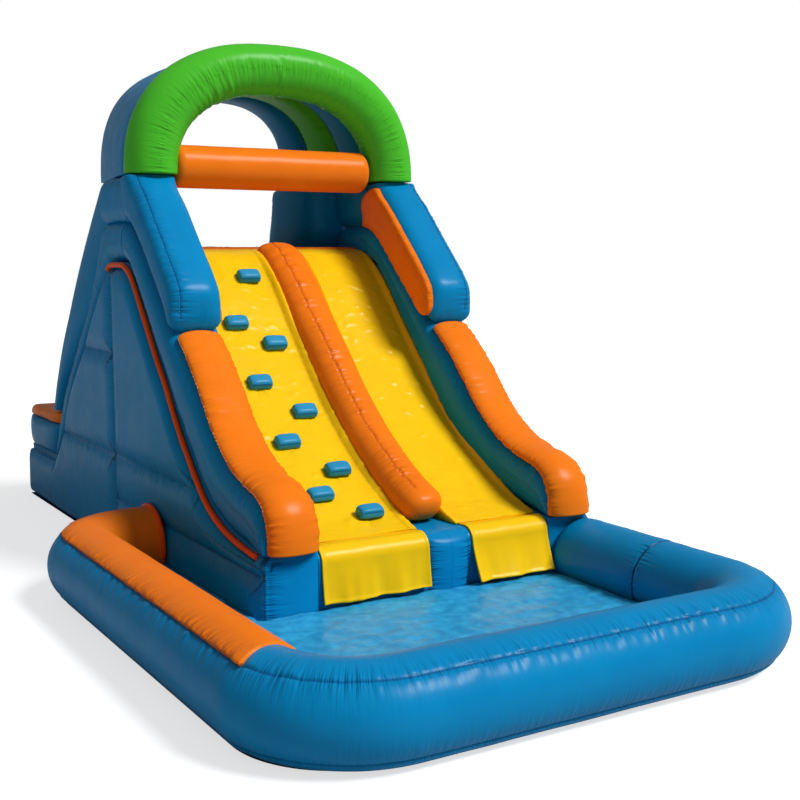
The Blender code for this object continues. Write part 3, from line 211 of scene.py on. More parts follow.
def smooth(points: Sequence, steps: int = 24) -> np.ndarray:
    """A smooth curve through the points.

    Args:
        points: The points, in two or three axes.
        steps: Pieces between one point and the next.

    Returns:
        The points of the fine curve.
    """
    given = np.asarray(points, float)
    padded = np.vstack([given[0], given, given[-1]])
    t = np.linspace(0, 1, steps, endpoint=False)[:, None]
    parts = []
    for before, start, end, after in zip(padded, padded[1:], padded[2:], padded[3:]):
        leave, arrive = (end - before) / 2, (after - start) / 2
        parts.append(
            start * (2 * t**3 - 3 * t**2 + 1) + leave * (t**3 - 2 * t**2 + t)
            + end * (3 * t**2 - 2 * t**3) + arrive * (t**3 - t**2)
        )
    return np.vstack([*parts, given[-1:]])


def side_curve(shares: Sequence, low: tuple[float, float], high: tuple[float, float]) -> Curve:
    """A smooth side-view curve whose points are shares of the box from low to high, as (y, z)."""
    corner, size = np.array(low), np.array(high) - np.array(low)
    return smooth(corner + np.array(shares) * size)


def run_of(points: np.ndarray) -> np.ndarray:
    """Length along the points up to each of them."""
    steps = np.linalg.norm(np.diff(points, axis=0), axis=1)
    return np.concatenate([[0.0], np.cumsum(steps)])


def at(points: np.ndarray, distances: np.ndarray) -> np.ndarray:
    """The points at these distances along the curve."""
    runs = run_of(points)
    return np.column_stack([np.interp(distances, runs, axis) for axis in points.T])


def at_shares(points: np.ndarray, shares: np.ndarray) -> np.ndarray:
    """The points at these shares of the curve's length."""
    return at(points, np.asarray(shares) * run_of(points)[-1])


def straight(start: Sequence[float], stop: Sequence[float], count: int = 160) -> np.ndarray:
    """Even points on a straight line."""
    return np.linspace(start, stop, count)


def directions(points: np.ndarray) -> np.ndarray:
    """Unit direction of the curve at each of its points."""
    run = np.gradient(points, axis=0)
    return run / (np.linalg.norm(run, axis=1)[:, None] + 1e-12)


def normals_of(curve: Curve) -> Curve:
    """Unit normals on the left of a side-view curve as it runs."""
    run = directions(curve)
    return np.column_stack([-run[:, 1], run[:, 0]])


def crossing(curve: Curve, level: float) -> int:
    """Index of the curve's point nearest to a level."""
    return int(np.argmin(np.abs(curve[:, 1] - level)))


# Cross-sections


def oval(angles: np.ndarray, power: float) -> np.ndarray:
    """A unit section, round at power 2 and nearly square at a high power.

    Args:
        angles: Angles round the section, in radians.
        power: How square it is.

    Returns:
        One point for each angle.
    """
    c, s = np.cos(angles), np.sin(angles)
    size = (np.abs(c) ** power + np.abs(s) ** power) ** (-1 / power)
    return np.column_stack([c * size, s * size])


def cushion(angles: np.ndarray, power: float, seat: float, back: int, low: float = 0.0) -> np.ndarray:
    """The section of a cushion: an oval's upper half on a flat back.

    Args:
        angles: Angles of the upper half, in radians.
        power: How square it is.
        seat: Height at which the half begins.
        back: Points across the back.
        low: Height of the back.

    Returns:
        The section's points.
    """
    half = oval(angles, power) * [1, 1 - seat] + [0, seat]
    return np.vstack([half, np.column_stack([np.linspace(-1, 1, back), np.full(back, low)])])


def round_angles(count: int, seams: Sequence[float], width: float = 0.04) -> tuple[np.ndarray, list[int]]:
    """Angles round a section, drawn together beside its seams.

    Args:
        count: Even angles before the seams get theirs.
        seams: Angles of the seams, in degrees.
        width: Angle between a seam and the first column beside it, in radians.

    Returns:
        The angles in order, and the index of each seam among them.
    """
    marks = [math.radians(a) % TURN for a in seams]
    offsets = np.array([-3.6, -2.0, -1.0, 0.0, 1.0, 2.0, 3.6]) * width
    angles = np.arange(count) * TURN / count
    for mark in marks:
        away = np.abs((angles - mark + math.pi) % TURN - math.pi)
        angles = angles[away > 4.4 * width]
        angles = np.concatenate([angles, (mark + offsets) % TURN])
    angles = np.sort(angles)
    found = [int(np.argmin(np.abs((angles - m + math.pi) % TURN - math.pi))) for m in marks]
    return angles, found


# Lofts


def swept(centre: np.ndarray, across: np.ndarray, up: np.ndarray, section: np.ndarray) -> Rings:
    """A section carried along a path.

    Args:
        centre: The path's points.
        across: What the section's first axis stands for at each point, or everywhere.
        up: What its second axis stands for.
        section: The unit section.

    Returns:
        One ring for each point.
    """
    across, up = np.atleast_2d(across), np.atleast_2d(up)
    return centre[:, None] + across[:, None] * section[:, :1] + up[:, None] * section[:, 1:]


def strip(top: Curve, bottom: Curve, low: Level, high: Level, section: np.ndarray) -> Rings:
    """Rings between two side-view curves of as many points, from a low x to a high x.

    Args:
        top: The curve at the section's upper side.
        bottom: The curve at its lower side.
        low: The left edge, one number or one for each station.
        high: The right edge, likewise.
        section: The unit section.

    Returns:
        One ring for each pair of points.
    """
    count = len(top)
    low, high = np.broadcast_to(low, count), np.broadcast_to(high, count)
    across = np.column_stack([(high - low) / 2, np.zeros((count, 2))])
    up = np.column_stack([np.zeros(count), (top - bottom) / 2])
    return swept(np.column_stack([(low + high) / 2, (top + bottom) / 2]), across, up, section)


def tube(path: np.ndarray, radius: float, section: np.ndarray, plane: Sequence[float]) -> Rings:
    """Rings round a path in a plane. The section's first axis points out of the path's right side.

    Args:
        path: Points of the path.
        radius: Radius, in metres.
        section: The unit section.
        plane: Unit normal of the plane that holds the path, which is the section's second axis.

    Returns:
        One ring for each point.
    """
    side = np.cross(directions(path), plane)
    return swept(path, radius * side, radius * np.array(plane), section)


def along_x(places: np.ndarray, loop: Curve) -> Rings:
    """One side-view outline repeated at each place across the tower.

    Args:
        places: The places.
        loop: The outline.

    Returns:
        The rings.
    """
    return np.concatenate([
        np.repeat(places[:, None, None], len(loop), 1), np.repeat(loop[None], len(places), 0),
    ], axis=-1)


def stations(rings: Rings, step: float, start: float, end: float, power: float = 3.2) -> Rings:
    """Evenly spaced rings, with each end drawn in to a rounded dome.

    Args:
        rings: Rings along the chamber.
        step: Spacing of the new rings, in metres.
        start: Length of the dome at the first end. Zero leaves it flat.
        end: Length of the dome at the last end.
        power: How blunt the domes are.

    Returns:
        The new rings.
    """
    runs = run_of(rings.mean(axis=1))
    total = runs[-1]
    count = max(4, round((total - start - end) / step))
    places = [np.linspace(start, total - end, count + 1)]
    scales = [np.ones(count + 1)]
    turn = np.linspace(0.06, 1, 9)[:-1] * math.pi / 2
    scale = np.sin(turn) ** (2 / power)
    if start:
        places.insert(0, start * (1 - np.cos(turn) ** (2 / power)))
        scales.insert(0, scale)
    if end:
        places.append((total - end * (1 - np.cos(turn) ** (2 / power)))[::-1])
        scales.append(scale[::-1])
    place, scale = np.concatenate(places), np.concatenate(scales)
    flat = rings.reshape(len(rings), -1)
    index = np.interp(place, runs, np.arange(len(runs)))
    low = np.clip(np.floor(index).astype(int), 0, len(runs) - 2)
    part = (index - low)[:, None]
    made = (flat[low] * (1 - part) + flat[low + 1] * part).reshape(len(place), -1, 3)
    centre = made.mean(axis=1, keepdims=True)
    return centre + (made - centre) * scale[:, None, None]


def on_side(points: np.ndarray, side: Side, tower: Tower) -> np.ndarray:
    """Points of the left side as they are, or mirrored to the right.

    Args:
        points: The points.
        side: The side.
        tower: The tower.

    Returns:
        The points on that side.
    """
    if side is Side.LEFT:
        return points
    return np.concatenate([tower.width - points[..., :1], points[..., 1:]], axis=-1)


def rounded(loop: np.ndarray, count: int, passes: int) -> np.ndarray:
    """A closed outline cut evenly, with its corners worn round by averaging neighbours.

    Args:
        loop: The outline's corners.
        count: Points of the new outline.
        passes: How often each point is averaged with its neighbours.

    Returns:
        The new outline.
    """
    closed = np.vstack([loop, loop[:1]])
    even = at(closed, np.arange(count) * run_of(closed)[-1] / count)
    for _ in range(passes):
        even = (np.roll(even, 1, axis=0) + 2 * even + np.roll(even, -1, axis=0)) / 4
    return even


# Cloth movement


def line_noise(run: np.ndarray, pitch: float, seed: int) -> np.ndarray:
    """Smooth noise along a line, with a knot each pitch.

    Args:
        run: Places along the line.
        pitch: Spacing of the knots.
        seed: Fixed seed.

    Returns:
        One value from -1 to 1 for each place.
    """
    table = np.random.default_rng(seed).uniform(-1, 1, 4096)
    place = np.asarray(run) / pitch
    low = np.floor(place).astype(int)
    part = place - low
    part = part * part * (3 - 2 * part)
    return table[low % 4096] * (1 - part) + table[(low + 1) % 4096] * part


def crumple(points: np.ndarray, cell: Sequence[float], seed: int) -> np.ndarray:
    """Smooth noise from -1 to 1 in space.

    Args:
        points: Points, as (count, 3).
        cell: Size of a cell along each axis, in metres.
        seed: Fixed seed.

    Returns:
        One value for each point.
    """
    size = 24
    table = np.random.default_rng(seed).uniform(-1, 1, (size, size, size))
    place = points / np.array(cell) + 11.3
    low = np.floor(place).astype(int)
    part = place - low
    part = part * part * (3 - 2 * part)
    total = np.zeros(len(points))
    for step in itertools.product((0, 1), repeat=3):
        corner = (low + step) % size
        weight = np.where(step, part, 1 - part).prod(axis=1)
        total += table[corner[:, 0], corner[:, 1], corner[:, 2]] * weight
    return total


@dataclass(frozen=True)
class Gather:
    """How cloth gathers beside a sewn seam, in metres."""

    height: float = 0.0042
    pitch: float = 0.014
    reach: float = 0.055
    pinch: float = 0.0
    pinch_width: float = 0.009
    swell: float = 0.0014
    swell_cell: float = 0.20
    fade: float = 0.085


def beside(lines: list[np.ndarray], points: np.ndarray) -> tuple[np.ndarray, np.ndarray]:
    """Where points lie beside sewn lines.

    Args:
        lines: Points of each line.
        points: The points, as (count, 3).

    Returns:
        The distance from each point to the nearest line, and its place along that line.
    """
    if not lines:
        return np.full(len(points), 1.0), np.zeros(len(points))
    samples, runs, tangents, begin = [], [], [], 0.0
    for line in lines:
        total = run_of(line)[-1]
        count = max(3, round(total / 0.012))
        cut = at(line, np.linspace(0, total, count))
        tangents.append(directions(cut))
        samples.append(cut)
        runs.append(begin + np.linspace(0, total, count))
        begin += total + 1.7
    sample, where, tangent = np.vstack(samples), np.concatenate(runs), np.vstack(tangents)
    distance, place = np.empty(len(points)), np.empty(len(points))
    square = (sample**2).sum(1)
    for first in range(0, len(points), 4000):
        part = points[first : first + 4000]
        near = np.argmin(square[None] - 2 * part @ sample.T, axis=1)
        offset = part - sample[near]
        slide = np.clip((offset * tangent[near]).sum(1), -0.008, 0.008)
        distance[first : first + 4000] = np.linalg.norm(offset - tangent[near] * slide[:, None], axis=1)
        place[first : first + 4000] = where[near] + slide
    return distance, place


def seed_of(name: str) -> int:
    """A fixed seed from a piece's name."""
    return sum((i + 3) * ord(c) for i, c in enumerate(name)) % 9973


def moved_by_cloth(
    points: np.ndarray, distance: np.ndarray, place: np.ndarray, gather: Gather, seed: int
) -> np.ndarray:
    """How far each point stands out of the smooth skin, in metres.

    Args:
        points: Points of the smooth skin.
        distance: Their distance from the nearest seam.
        place: Their place along that seam.
        gather: The cloth's gathers.
        seed: Fixed seed.

    Returns:
        One height for each point.
    """
    fine = line_noise(place, gather.pitch, seed) + 0.6 * line_noise(place, gather.pitch * 2.1, seed + 1)
    reach = gather.reach * (0.75 + 0.55 * line_noise(place, gather.pitch * 1.9, seed + 2))
    fade = np.clip(1 - distance / gather.fade, 0, 1)
    near = (1 - np.exp(-distance / 0.007)) * np.exp(-distance / reach) * fade * fade * (3 - 2 * fade)
    height = gather.height * fine * near
    height -= gather.pinch * np.exp(-((distance / gather.pinch_width) ** 2))
    soft = crumple(points, [gather.swell_cell] * 3, seed + 3)
    soft += 0.45 * crumple(points, [gather.swell_cell * 0.42] * 3, seed + 4)
    return height + gather.swell * soft


# Meshes


def mesh_of(name: str, points: np.ndarray, *faces: np.ndarray) -> bpy.types.Mesh:
    """A smooth-shaded mesh.

    Args:
        name: Its name.
        points: Its points.
        *faces: Arrays of faces, each array of as many corners to a face.

    Returns:
        The mesh.
    """
    mesh = bpy.data.meshes.new(name)
    mesh.vertices.add(len(points))
    mesh.vertices.foreach_set("co", points.astype(np.float32).ravel())
    corners = np.concatenate([part.ravel() for part in faces]).astype(np.int32)
    mesh.loops.add(len(corners))
    mesh.loops.foreach_set("vertex_index", corners)
    sizes = np.concatenate([np.full(len(part), part.shape[1]) for part in faces])
    mesh.polygons.add(len(sizes))
    mesh.polygons.foreach_set("loop_start", (np.cumsum(sizes) - sizes).astype(np.int32))
    mesh.update(calc_edges=True)
    mesh.shade_smooth()
    return mesh


def quads_over(grid: np.ndarray) -> np.ndarray:
    """Quads over a grid of point numbers."""
    return np.stack([grid[:-1, :-1], grid[:-1, 1:], grid[1:, 1:], grid[1:, :-1]], axis=-1).reshape(-1, 4)


def numbered(grid: np.ndarray) -> np.ndarray:
    """The numbers of a grid's points, as a grid of rows and columns."""
    return np.arange(grid.shape[0] * grid.shape[1]).reshape(grid.shape[:2])


def outward(points: np.ndarray, faces: list[np.ndarray]) -> list[np.ndarray]:
    """Turns all faces of a closed skin round where they point inwards.

    Args:
        points: The skin's points.
        faces: Arrays of quads or triangles.

    Returns:
        The arrays, facing outwards.
    """
    split = [part[:, [0, k, k + 1]] for part in faces for k in range(1, part.shape[1] - 1)]
    a, b, c = (points[np.vstack(split)[:, k]] - points.mean(axis=0) for k in range(3))
    inside_out = (a * np.cross(b, c)).sum() < 0
    return [part[:, ::-1] for part in faces] if inside_out else faces


def skin_of(rings: Rings) -> tuple[np.ndarray, list[np.ndarray]]:
    """A closed skin over the rings.

    Args:
        rings: The rings.

    Returns:
        Its points, and its quads and end triangles, facing outwards.
    """
    rows, columns = rings.shape[:2]
    index = np.pad(numbered(rings), ((0, 0), (0, 1)), mode="wrap")
    points = np.vstack([rings.reshape(-1, 3), rings[[0, -1]].mean(axis=1)])
    first, last = rows * columns, rows * columns + 1
    start = np.column_stack([np.full(columns, first), index[0, 1:], index[0, :-1]])
    end = np.column_stack([np.full(columns, last), index[-1, :-1], index[-1, 1:]])
    return points, outward(points, [quads_over(index), np.vstack([start, end])])


def normals_at(mesh: bpy.types.Mesh) -> np.ndarray:
    """Unit normals of a mesh's points.

    Args:
        mesh: The mesh.

    Returns:
        One normal for each point.
    """
    found = np.empty(len(mesh.vertices) * 3, np.float32)
    mesh.vertex_normals.foreach_get("vector", found)
    return found.reshape(-1, 3).astype(float)


def keep_seam_places(mesh: bpy.types.Mesh, place: np.ndarray, distance: np.ndarray) -> None:
    """Stores where each point lies beside its seam, for the cloth's finish to read.

    Args:
        mesh: The mesh.
        place: Each point's place along the nearest seam, in metres.
        distance: Its distance from that seam.
    """
    attribute = mesh.attributes.new("seam", "FLOAT_VECTOR", "POINT")
    rows = np.column_stack([place, np.minimum(distance, 1.0), np.zeros(len(place))])
    attribute.data.foreach_set("vector", rows.astype(np.float32).ravel())


def show(name: str, mesh: bpy.types.Mesh, finish: bpy.types.Material) -> bpy.types.Object:
    """Links a mesh as an object at the origin, with its material.

    Args:
        name: The object's name.
        mesh: Its mesh.
        finish: Its material.

    Returns:
        The object.
    """
    made = bpy.data.objects.new(name, mesh)
    made.data.materials.append(finish)
    bpy.context.scene.collection.objects.link(made)
    return made


# Finishes


def linear(colour: str) -> tuple[float, float, float, float]:
    """sRGB hex to linear RGBA.

    Args:
        colour: The colour, with its hash sign.

    Returns:
        Its four parts.
    """
    parts = [int(colour[i : i + 2], 16) / 255 for i in (1, 3, 5)]
    red, green, blue = (c / 12.92 if c <= 0.04045 else ((c + 0.055) / 1.055) ** 2.4 for c in parts)
    return red, green, blue, 1.0


def add(tree: Tree, kind: str, inputs: dict | None = None, **settings) -> bpy.types.Node:
    """Adds a node with its settings, and gives its inputs a value or a link.

    Args:
        tree: The node tree.
        kind: The node's type.
        inputs: Values or output sockets by input name or index.
        **settings: The node's own settings.

    Returns:
        The node.
    """
    node = tree.nodes.new(kind)
    for key, value in settings.items():
        setattr(node, key, value)
    for key, value in (inputs or {}).items():
        if isinstance(value, Socket):
            tree.links.new(value, node.inputs[key])
        else:
            node.inputs[key].default_value = value
    return node


def finish_made(name: str, values: dict, links: Callable[[Tree], dict[str, Socket]]) -> bpy.types.Material:
    """A finish whose shader gets its values and its patterns.

    Args:
        name: Name of the finish.
        values: Values of the shader's sockets, by name.
        links: Builds the patterns, and gives the socket for each of the shader's inputs.

    Returns:
        The finish.
    """
    made = bpy.data.materials.new(name)
    made.use_nodes = True
    tree = made.node_tree
    shader = tree.nodes["Principled BSDF"]
    for key, value in values.items():
        shader.inputs[key].default_value = value
    for key, socket in links(tree).items():
        tree.links.new(socket, shader.inputs[key])
    return made


@dataclass(frozen=True)
class CoatedCloth:
    """PVC-coated polyester, calendered smooth: satin gloss, fine creases and gathers at its seams."""

    name: str
    slot: str
    colour: str
    # Colour towards which the painted shade of seams and gathers and the random tone are mixed
    shade: str
    roughness: float = 0.36
    gather: float = 0.0220
    crease: float = 0.0009
    crease_scale: float = 9.0
    shine: float = 0.03
    coat: float = 0.18
    gleam: str = "#ffffff"
    # Share of random tone over a hand's width; on the wet floor it is strong and paints pale streaks of light
    # on the ripples
    mottle_and_painted_streaks: float = 0.12
    mottle_and_streak_scale: float = 6.0
    grain: float = 0.00016

    @cache
    def material(self) -> bpy.types.Material:
        """The finish, made once."""
        values = {
            "IOR": 1.5, "Specular IOR Level": self.shine, "Specular Tint": linear(self.gleam),
            "Coat Weight": self.coat, "Coat Roughness": 0.27,
        }
        return finish_made(self.name, values, self.patterns)

    def patterns(self, tree: Tree) -> dict[str, Socket]:
        """The creases, the colour and the wear, by the shader's inputs.

        Args:
            tree: The node tree.

        Returns:
            One socket for each input, by name.
        """
        place = add(tree, "ShaderNodeTexCoord").outputs["Object"]
        seam = add(tree, "ShaderNodeAttribute", attribute_name="seam").outputs["Vector"]
        run, away, _ = add(tree, "ShaderNodeSeparateXYZ", {0: seam}).outputs
        height = self.heights(tree, place, run, away)
        bump = add(tree, "ShaderNodeBump", {"Strength": 1.0, "Distance": 1.0, "Height": height})
        return {
            "Normal": bump.outputs["Normal"], "Base Color": self.colouring(tree, place, away),
            "Roughness": self.glossing(tree, place),
        }

    def heights(self, tree: Tree, place: Socket, run: Socket, away: Socket) -> Socket:
        """Height of gathers, creases and the cloth's grain, in metres.

        Args:
            tree: The node tree.
            place: The place on the piece.
            run: The place along the nearest seam.
            away: The distance from it.

        Returns:
            The height's socket.
        """
        fade = add(tree, "ShaderNodeMath", {0: away, 1: -1 / 0.036}, operation="MULTIPLY")
        fade = add(tree, "ShaderNodeMath", {0: fade.outputs[0]}, operation="EXPONENT")
        along = add(tree, "ShaderNodeMath", {0: run, 1: 62.0}, operation="MULTIPLY")
        outwards = add(tree, "ShaderNodeMath", {0: away, 1: 7.0}, operation="MULTIPLY")
        lines = add(tree, "ShaderNodeCombineXYZ", {0: along.outputs[0], 1: outwards.outputs[0]})
        folds = add(
            tree, "ShaderNodeTexNoise",
            {"Vector": lines.outputs[0], "Scale": 1.0, "Detail": 2.5, "Roughness": 0.55},
        )
        folds = add(tree, "ShaderNodeMath", {0: folds.outputs[0], 1: 0.5}, operation="SUBTRACT")
        folds = add(tree, "ShaderNodeMath", {0: folds.outputs[0], 1: fade.outputs[0]}, operation="MULTIPLY")
        creases = add(
            tree, "ShaderNodeTexNoise",
            {"Vector": place, "Scale": self.crease_scale, "Detail": 4.0, "Roughness": 0.5, "Distortion": 0.8},
        )
        # Threads a millimetre apart are too fine to show, so the grain is drawn at 4 mm
        grain = add(tree, "ShaderNodeTexNoise", {"Vector": place, "Scale": 250.0, "Detail": 1.0})
        total = add(tree, "ShaderNodeMath", {0: folds.outputs[0], 1: self.gather}, operation="MULTIPLY")
        for noise, size in ((creases, self.crease), (grain, self.grain)):
            total = add(
                tree, "ShaderNodeMath", {0: noise.outputs[0], 1: size, 2: total.outputs[0]},
                operation="MULTIPLY_ADD",
            )
        return total.outputs[0]

    def colouring(self, tree: Tree, place: Socket, away: Socket) -> Socket:
        """The cloth's colour, uneven over a hand's width, with painted shade in its seams and beside them.

        Args:
            tree: The node tree.
            place: The place on the piece.
            away: The distance from the nearest seam.

        Returns:
            The colour's socket.
        """
        # Random tone; on the wet floor the same noise paints pale streaks of light
        mottle_and_painted_streaks = add(tree, "ShaderNodeTexNoise", {"Vector": place, "Scale": self.mottle_and_streak_scale, "Detail": 3.0})
        depth = add(
            tree, "ShaderNodeMapRange", {0: mottle_and_painted_streaks.outputs[0], 1: 0.35, 2: 0.65, 3: 0.0, 4: self.mottle_and_painted_streaks},
        )
        # Painted shade: a dark line in each seam's crease, and a soft shade over the gathers up to 7 cm from
        # it, both mixed towards the shade colour
        for span in ({1: 0.001, 2: 0.008, 3: 0.7, 4: 0.0}, {1: 0.0, 2: 0.07, 3: 0.14, 4: 0.0}):
            seam_shade = add(tree, "ShaderNodeMapRange", {0: away, **span})
            depth = add(
                tree, "ShaderNodeMath", {0: depth.outputs[0], 1: seam_shade.outputs[0]}, operation="ADD",
            )
        depth.use_clamp = True
        colours = {0: depth.outputs[0], 6: linear(self.colour), 7: linear(self.shade)}
        return add(tree, "ShaderNodeMix", colours, data_type="RGBA").outputs[2]

    def glossing(self, tree: Tree, place: Socket) -> Socket:
        """Roughness, which handling has made a little uneven.

        Args:
            tree: The node tree.
            place: The place on the piece.

        Returns:
            The roughness's socket.
        """
        wear = add(tree, "ShaderNodeTexNoise", {"Vector": place, "Scale": 11.0, "Detail": 4.0})
        span = {0: wear.outputs[0], 1: 0.3, 2: 0.7, 3: self.roughness - 0.05, 4: self.roughness + 0.09}
        return add(tree, "ShaderNodeMapRange", span).outputs[0]


@dataclass(frozen=True)
class PlatedSteel:
    """Zinc-plated round rod: bright, faintly blue, a little dulled by handling."""

    name: str = "zinc plated steel rod"
    slot: str = "zinc_steel"
    colour: str = "#b9bec4"
    shade: str = "#9aa0a8"

    @cache
    def material(self) -> bpy.types.Material:
        """The finish, made once."""
        return finish_made(self.name, {"Metallic": 1.0}, self.patterns)

    def patterns(self, tree: Tree) -> dict[str, Socket]:
        """The plating's bloom in colour and gloss, by the shader's inputs.

        Args:
            tree: The node tree.

        Returns:
            One socket for each input, by name.
        """
        place = add(tree, "ShaderNodeTexCoord").outputs["Object"]
        bloom = add(tree, "ShaderNodeTexNoise", {"Vector": place, "Scale": 140.0, "Detail": 3.0}).outputs[0]
        dull = add(tree, "ShaderNodeMapRange", {0: bloom, 1: 0.3, 2: 0.7, 3: 0.26, 4: 0.42})
        colours = {0: bloom, 6: linear(self.colour), 7: linear(self.shade)}
        colour = add(tree, "ShaderNodeMix", colours, data_type="RGBA")
        return {"Roughness": dull.outputs[0], "Base Color": colour.outputs[2]}


Finish = CoatedCloth | PlatedSteel

SKY = CoatedCloth("sky blue coated polyester", "sky_blue_vinyl", "#0688c2", "#045a92", gleam="#3fb4ec")
ORANGE = CoatedCloth("orange coated polyester", "orange_vinyl", "#fb8019", "#d0560c", gleam="#ffb45c")
GREEN = CoatedCloth("green coated polyester", "green_vinyl", "#50c430", "#2a9a18", gleam="#a0f080")
YELLOW = CoatedCloth(
    "yellow coated polyester", "yellow_vinyl", "#fdcb12", "#e2a408", roughness=0.32, gather=0.005,
    crease=0.0012, shine=0.08, gleam="#fff0a0",
)
PIPING = CoatedCloth(
    "red orange piping tape", "red_orange_piping", "#f0581a", "#c23c0a", crease=0.0004, gleam="#ff9c60",
)
HOLD_BLUE = CoatedCloth(
    "deep blue coated foam skin", "deep_blue_vinyl", "#3098c8", "#176488", gather=0.002, crease=0.0004,
    gleam="#80d0f0",
)
GROUND = CoatedCloth(
    "dark blue ground cloth", "ground_cloth", "#0b3f66", "#072b47", roughness=0.55, crease=0.0012,
    gleam="#3fa0e0",
)
# The wet floor's pale colour and strong unevenness paint pale streaks of light over its ripples, as painted
# caustics and glints
WATER_BLUE = CoatedCloth(
    "wet sky blue coated polyester", "sky_blue_vinyl", "#38aadc", "#0e7cbc", roughness=0.34,
    crease=0.0042, crease_scale=30.0, shine=0.05, gleam="#a0dcf8", mottle_and_painted_streaks=0.55, mottle_and_streak_scale=24.0,
)
PLASTIC = CoatedCloth(
    "moulded deep blue polyethylene", "deep_blue_vinyl", "#1f6f9f", "#124766", roughness=0.42,
    crease=0.0001, grain=0.00008,
)
WEBBING = CoatedCloth(
    "black polyester webbing", "black_webbing", "#17181a", "#0a0a0b", roughness=0.72, crease=0.0002,
    grain=0.0006,
)
ZINC = PlatedSteel()
THREAD_TINTS = {SKY: "#3aa4d6", ORANGE: "#ffa650"}


def thread_for(cloth: CoatedCloth) -> CoatedCloth:
    """Bonded nylon thread, a tint lighter than the cloth it sews.

    Args:
        cloth: The cloth.

    Returns:
        The thread's finish.
    """
    tint = THREAD_TINTS[cloth]
    return replace(
        cloth, name=f"thread on {cloth.name}", colour=tint, shade=tint, roughness=0.55, crease=0.0001,
    )


# Pieces


def dress(
    mesh: bpy.types.Mesh, finish: Finish, nodes: Sequence[str], body: str = TOWER_BODY
) -> bpy.types.Object:
    """Shows a mesh as a piece of the slide on the body it rides on, and hides the CAD nodes it stands for.

    Args:
        mesh: The mesh, which has the piece's name.
        finish: Its finish.
        nodes: The CAD nodes that it stands for.
        body: The body that it rides on.

    Returns:
        The piece.
    """
    if "seam" not in mesh.attributes:
        keep_seam_places(mesh, np.zeros(len(mesh.vertices)), np.ones(len(mesh.vertices)))
    made = show(mesh.name, mesh, finish.material())
    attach(made, body)
    if nodes:
        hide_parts(*nodes)
    LOG.info("%s: %d faces", mesh.name, len(mesh.polygons))
    return made


@dataclass
class Chamber:
    """One inflated chamber: rings of points that become a closed, seamed skin."""

    name: str
    nodes: tuple[str, ...]
    rings: Rings
    cloth: CoatedCloth
    columns: tuple[int, ...] = ()
    rows: tuple[int, ...] = ()
    fill: float = 0.9
    gather: Gather = Gather()
    lines: list[np.ndarray] = field(default_factory=list)
    shape: Callable[[np.ndarray, np.ndarray], np.ndarray] | None = None
    floor: float = FLOOR
    stitched: tuple[int, ...] = ()
    hems: tuple[int, ...] = ()
    thread_lift: float = 0.0007

    def build(self) -> None:
        sewn = [self.rings[SEAM_TRIM:-SEAM_TRIM, c] for c in self.columns]
        sewn += [np.vstack([self.rings[r], self.rings[r][:1]]) for r in self.rows]
        points, faces = skin_of(self.rings)
        mesh = mesh_of(self.name, points, *faces)
        distance, place = beside(sewn + self.lines, points)
        # The finish reads this distance for its folds and for the painted shade along seams
        away = distance if self.gather.pinch else distance + HIDDEN_SEAM
        # Hems get painted shade lines of their own
        if self.hems:
            away = np.minimum(away, beside([self.rings[:, c] for c in self.hems], points)[0])
        normals = normals_at(mesh)
        height = moved_by_cloth(points, distance, place, self.gather, seed_of(self.name))
        points = points + normals * height[:, None]
        if self.shape:
            points = self.shape(points, normals)
        points[:, 2] = np.maximum(points[:, 2], self.floor)
        mesh.vertices.foreach_set("co", (points + ORIGIN).astype(np.float32).ravel())
        mesh.update()
        keep_seam_places(mesh, place, away)
        dress(mesh, self.cloth, self.nodes)
        self.sew(mesh, points + ORIGIN)

    def sew(self, mesh: bpy.types.Mesh, points: np.ndarray) -> None:
        """Hands the stitched columns' lines over to be sewn.

        Args:
            mesh: The finished skin.
            points: Its points, in the frame.
        """
        rows, columns = self.rings.shape[:2]
        raised = points + normals_at(mesh) * self.thread_lift
        for column in self.stitched:
            line = raised[np.arange(rows) * columns + column % columns]
            SEWING.follow(line[9:-9], self.cloth)


def slab(points: np.ndarray, quads: np.ndarray, level: float) -> tuple[np.ndarray, np.ndarray]:
    """A sheet made solid down to a level, with a wall round its edge.

    Args:
        points: The sheet's points.
        quads: Its quads, facing up.
        level: Level of the solid's underside.

    Returns:
        The solid's points and quads.
    """
    edges = np.vstack([quads[:, [k, (k + 1) % 4]] for k in range(4)])
    _, first, count = np.unique(np.sort(edges, axis=1), axis=0, return_index=True, return_counts=True)
    rim = edges[first[count == 1]]
    size = len(points)
    wall = np.column_stack([rim[:, 1], rim[:, 0], rim[:, 0] + size, rim[:, 1] + size])
    low = np.column_stack([points[:, :2], np.full(size, level)])
    return np.vstack([points, low]), np.vstack([quads, quads[:, ::-1] + size, wall])


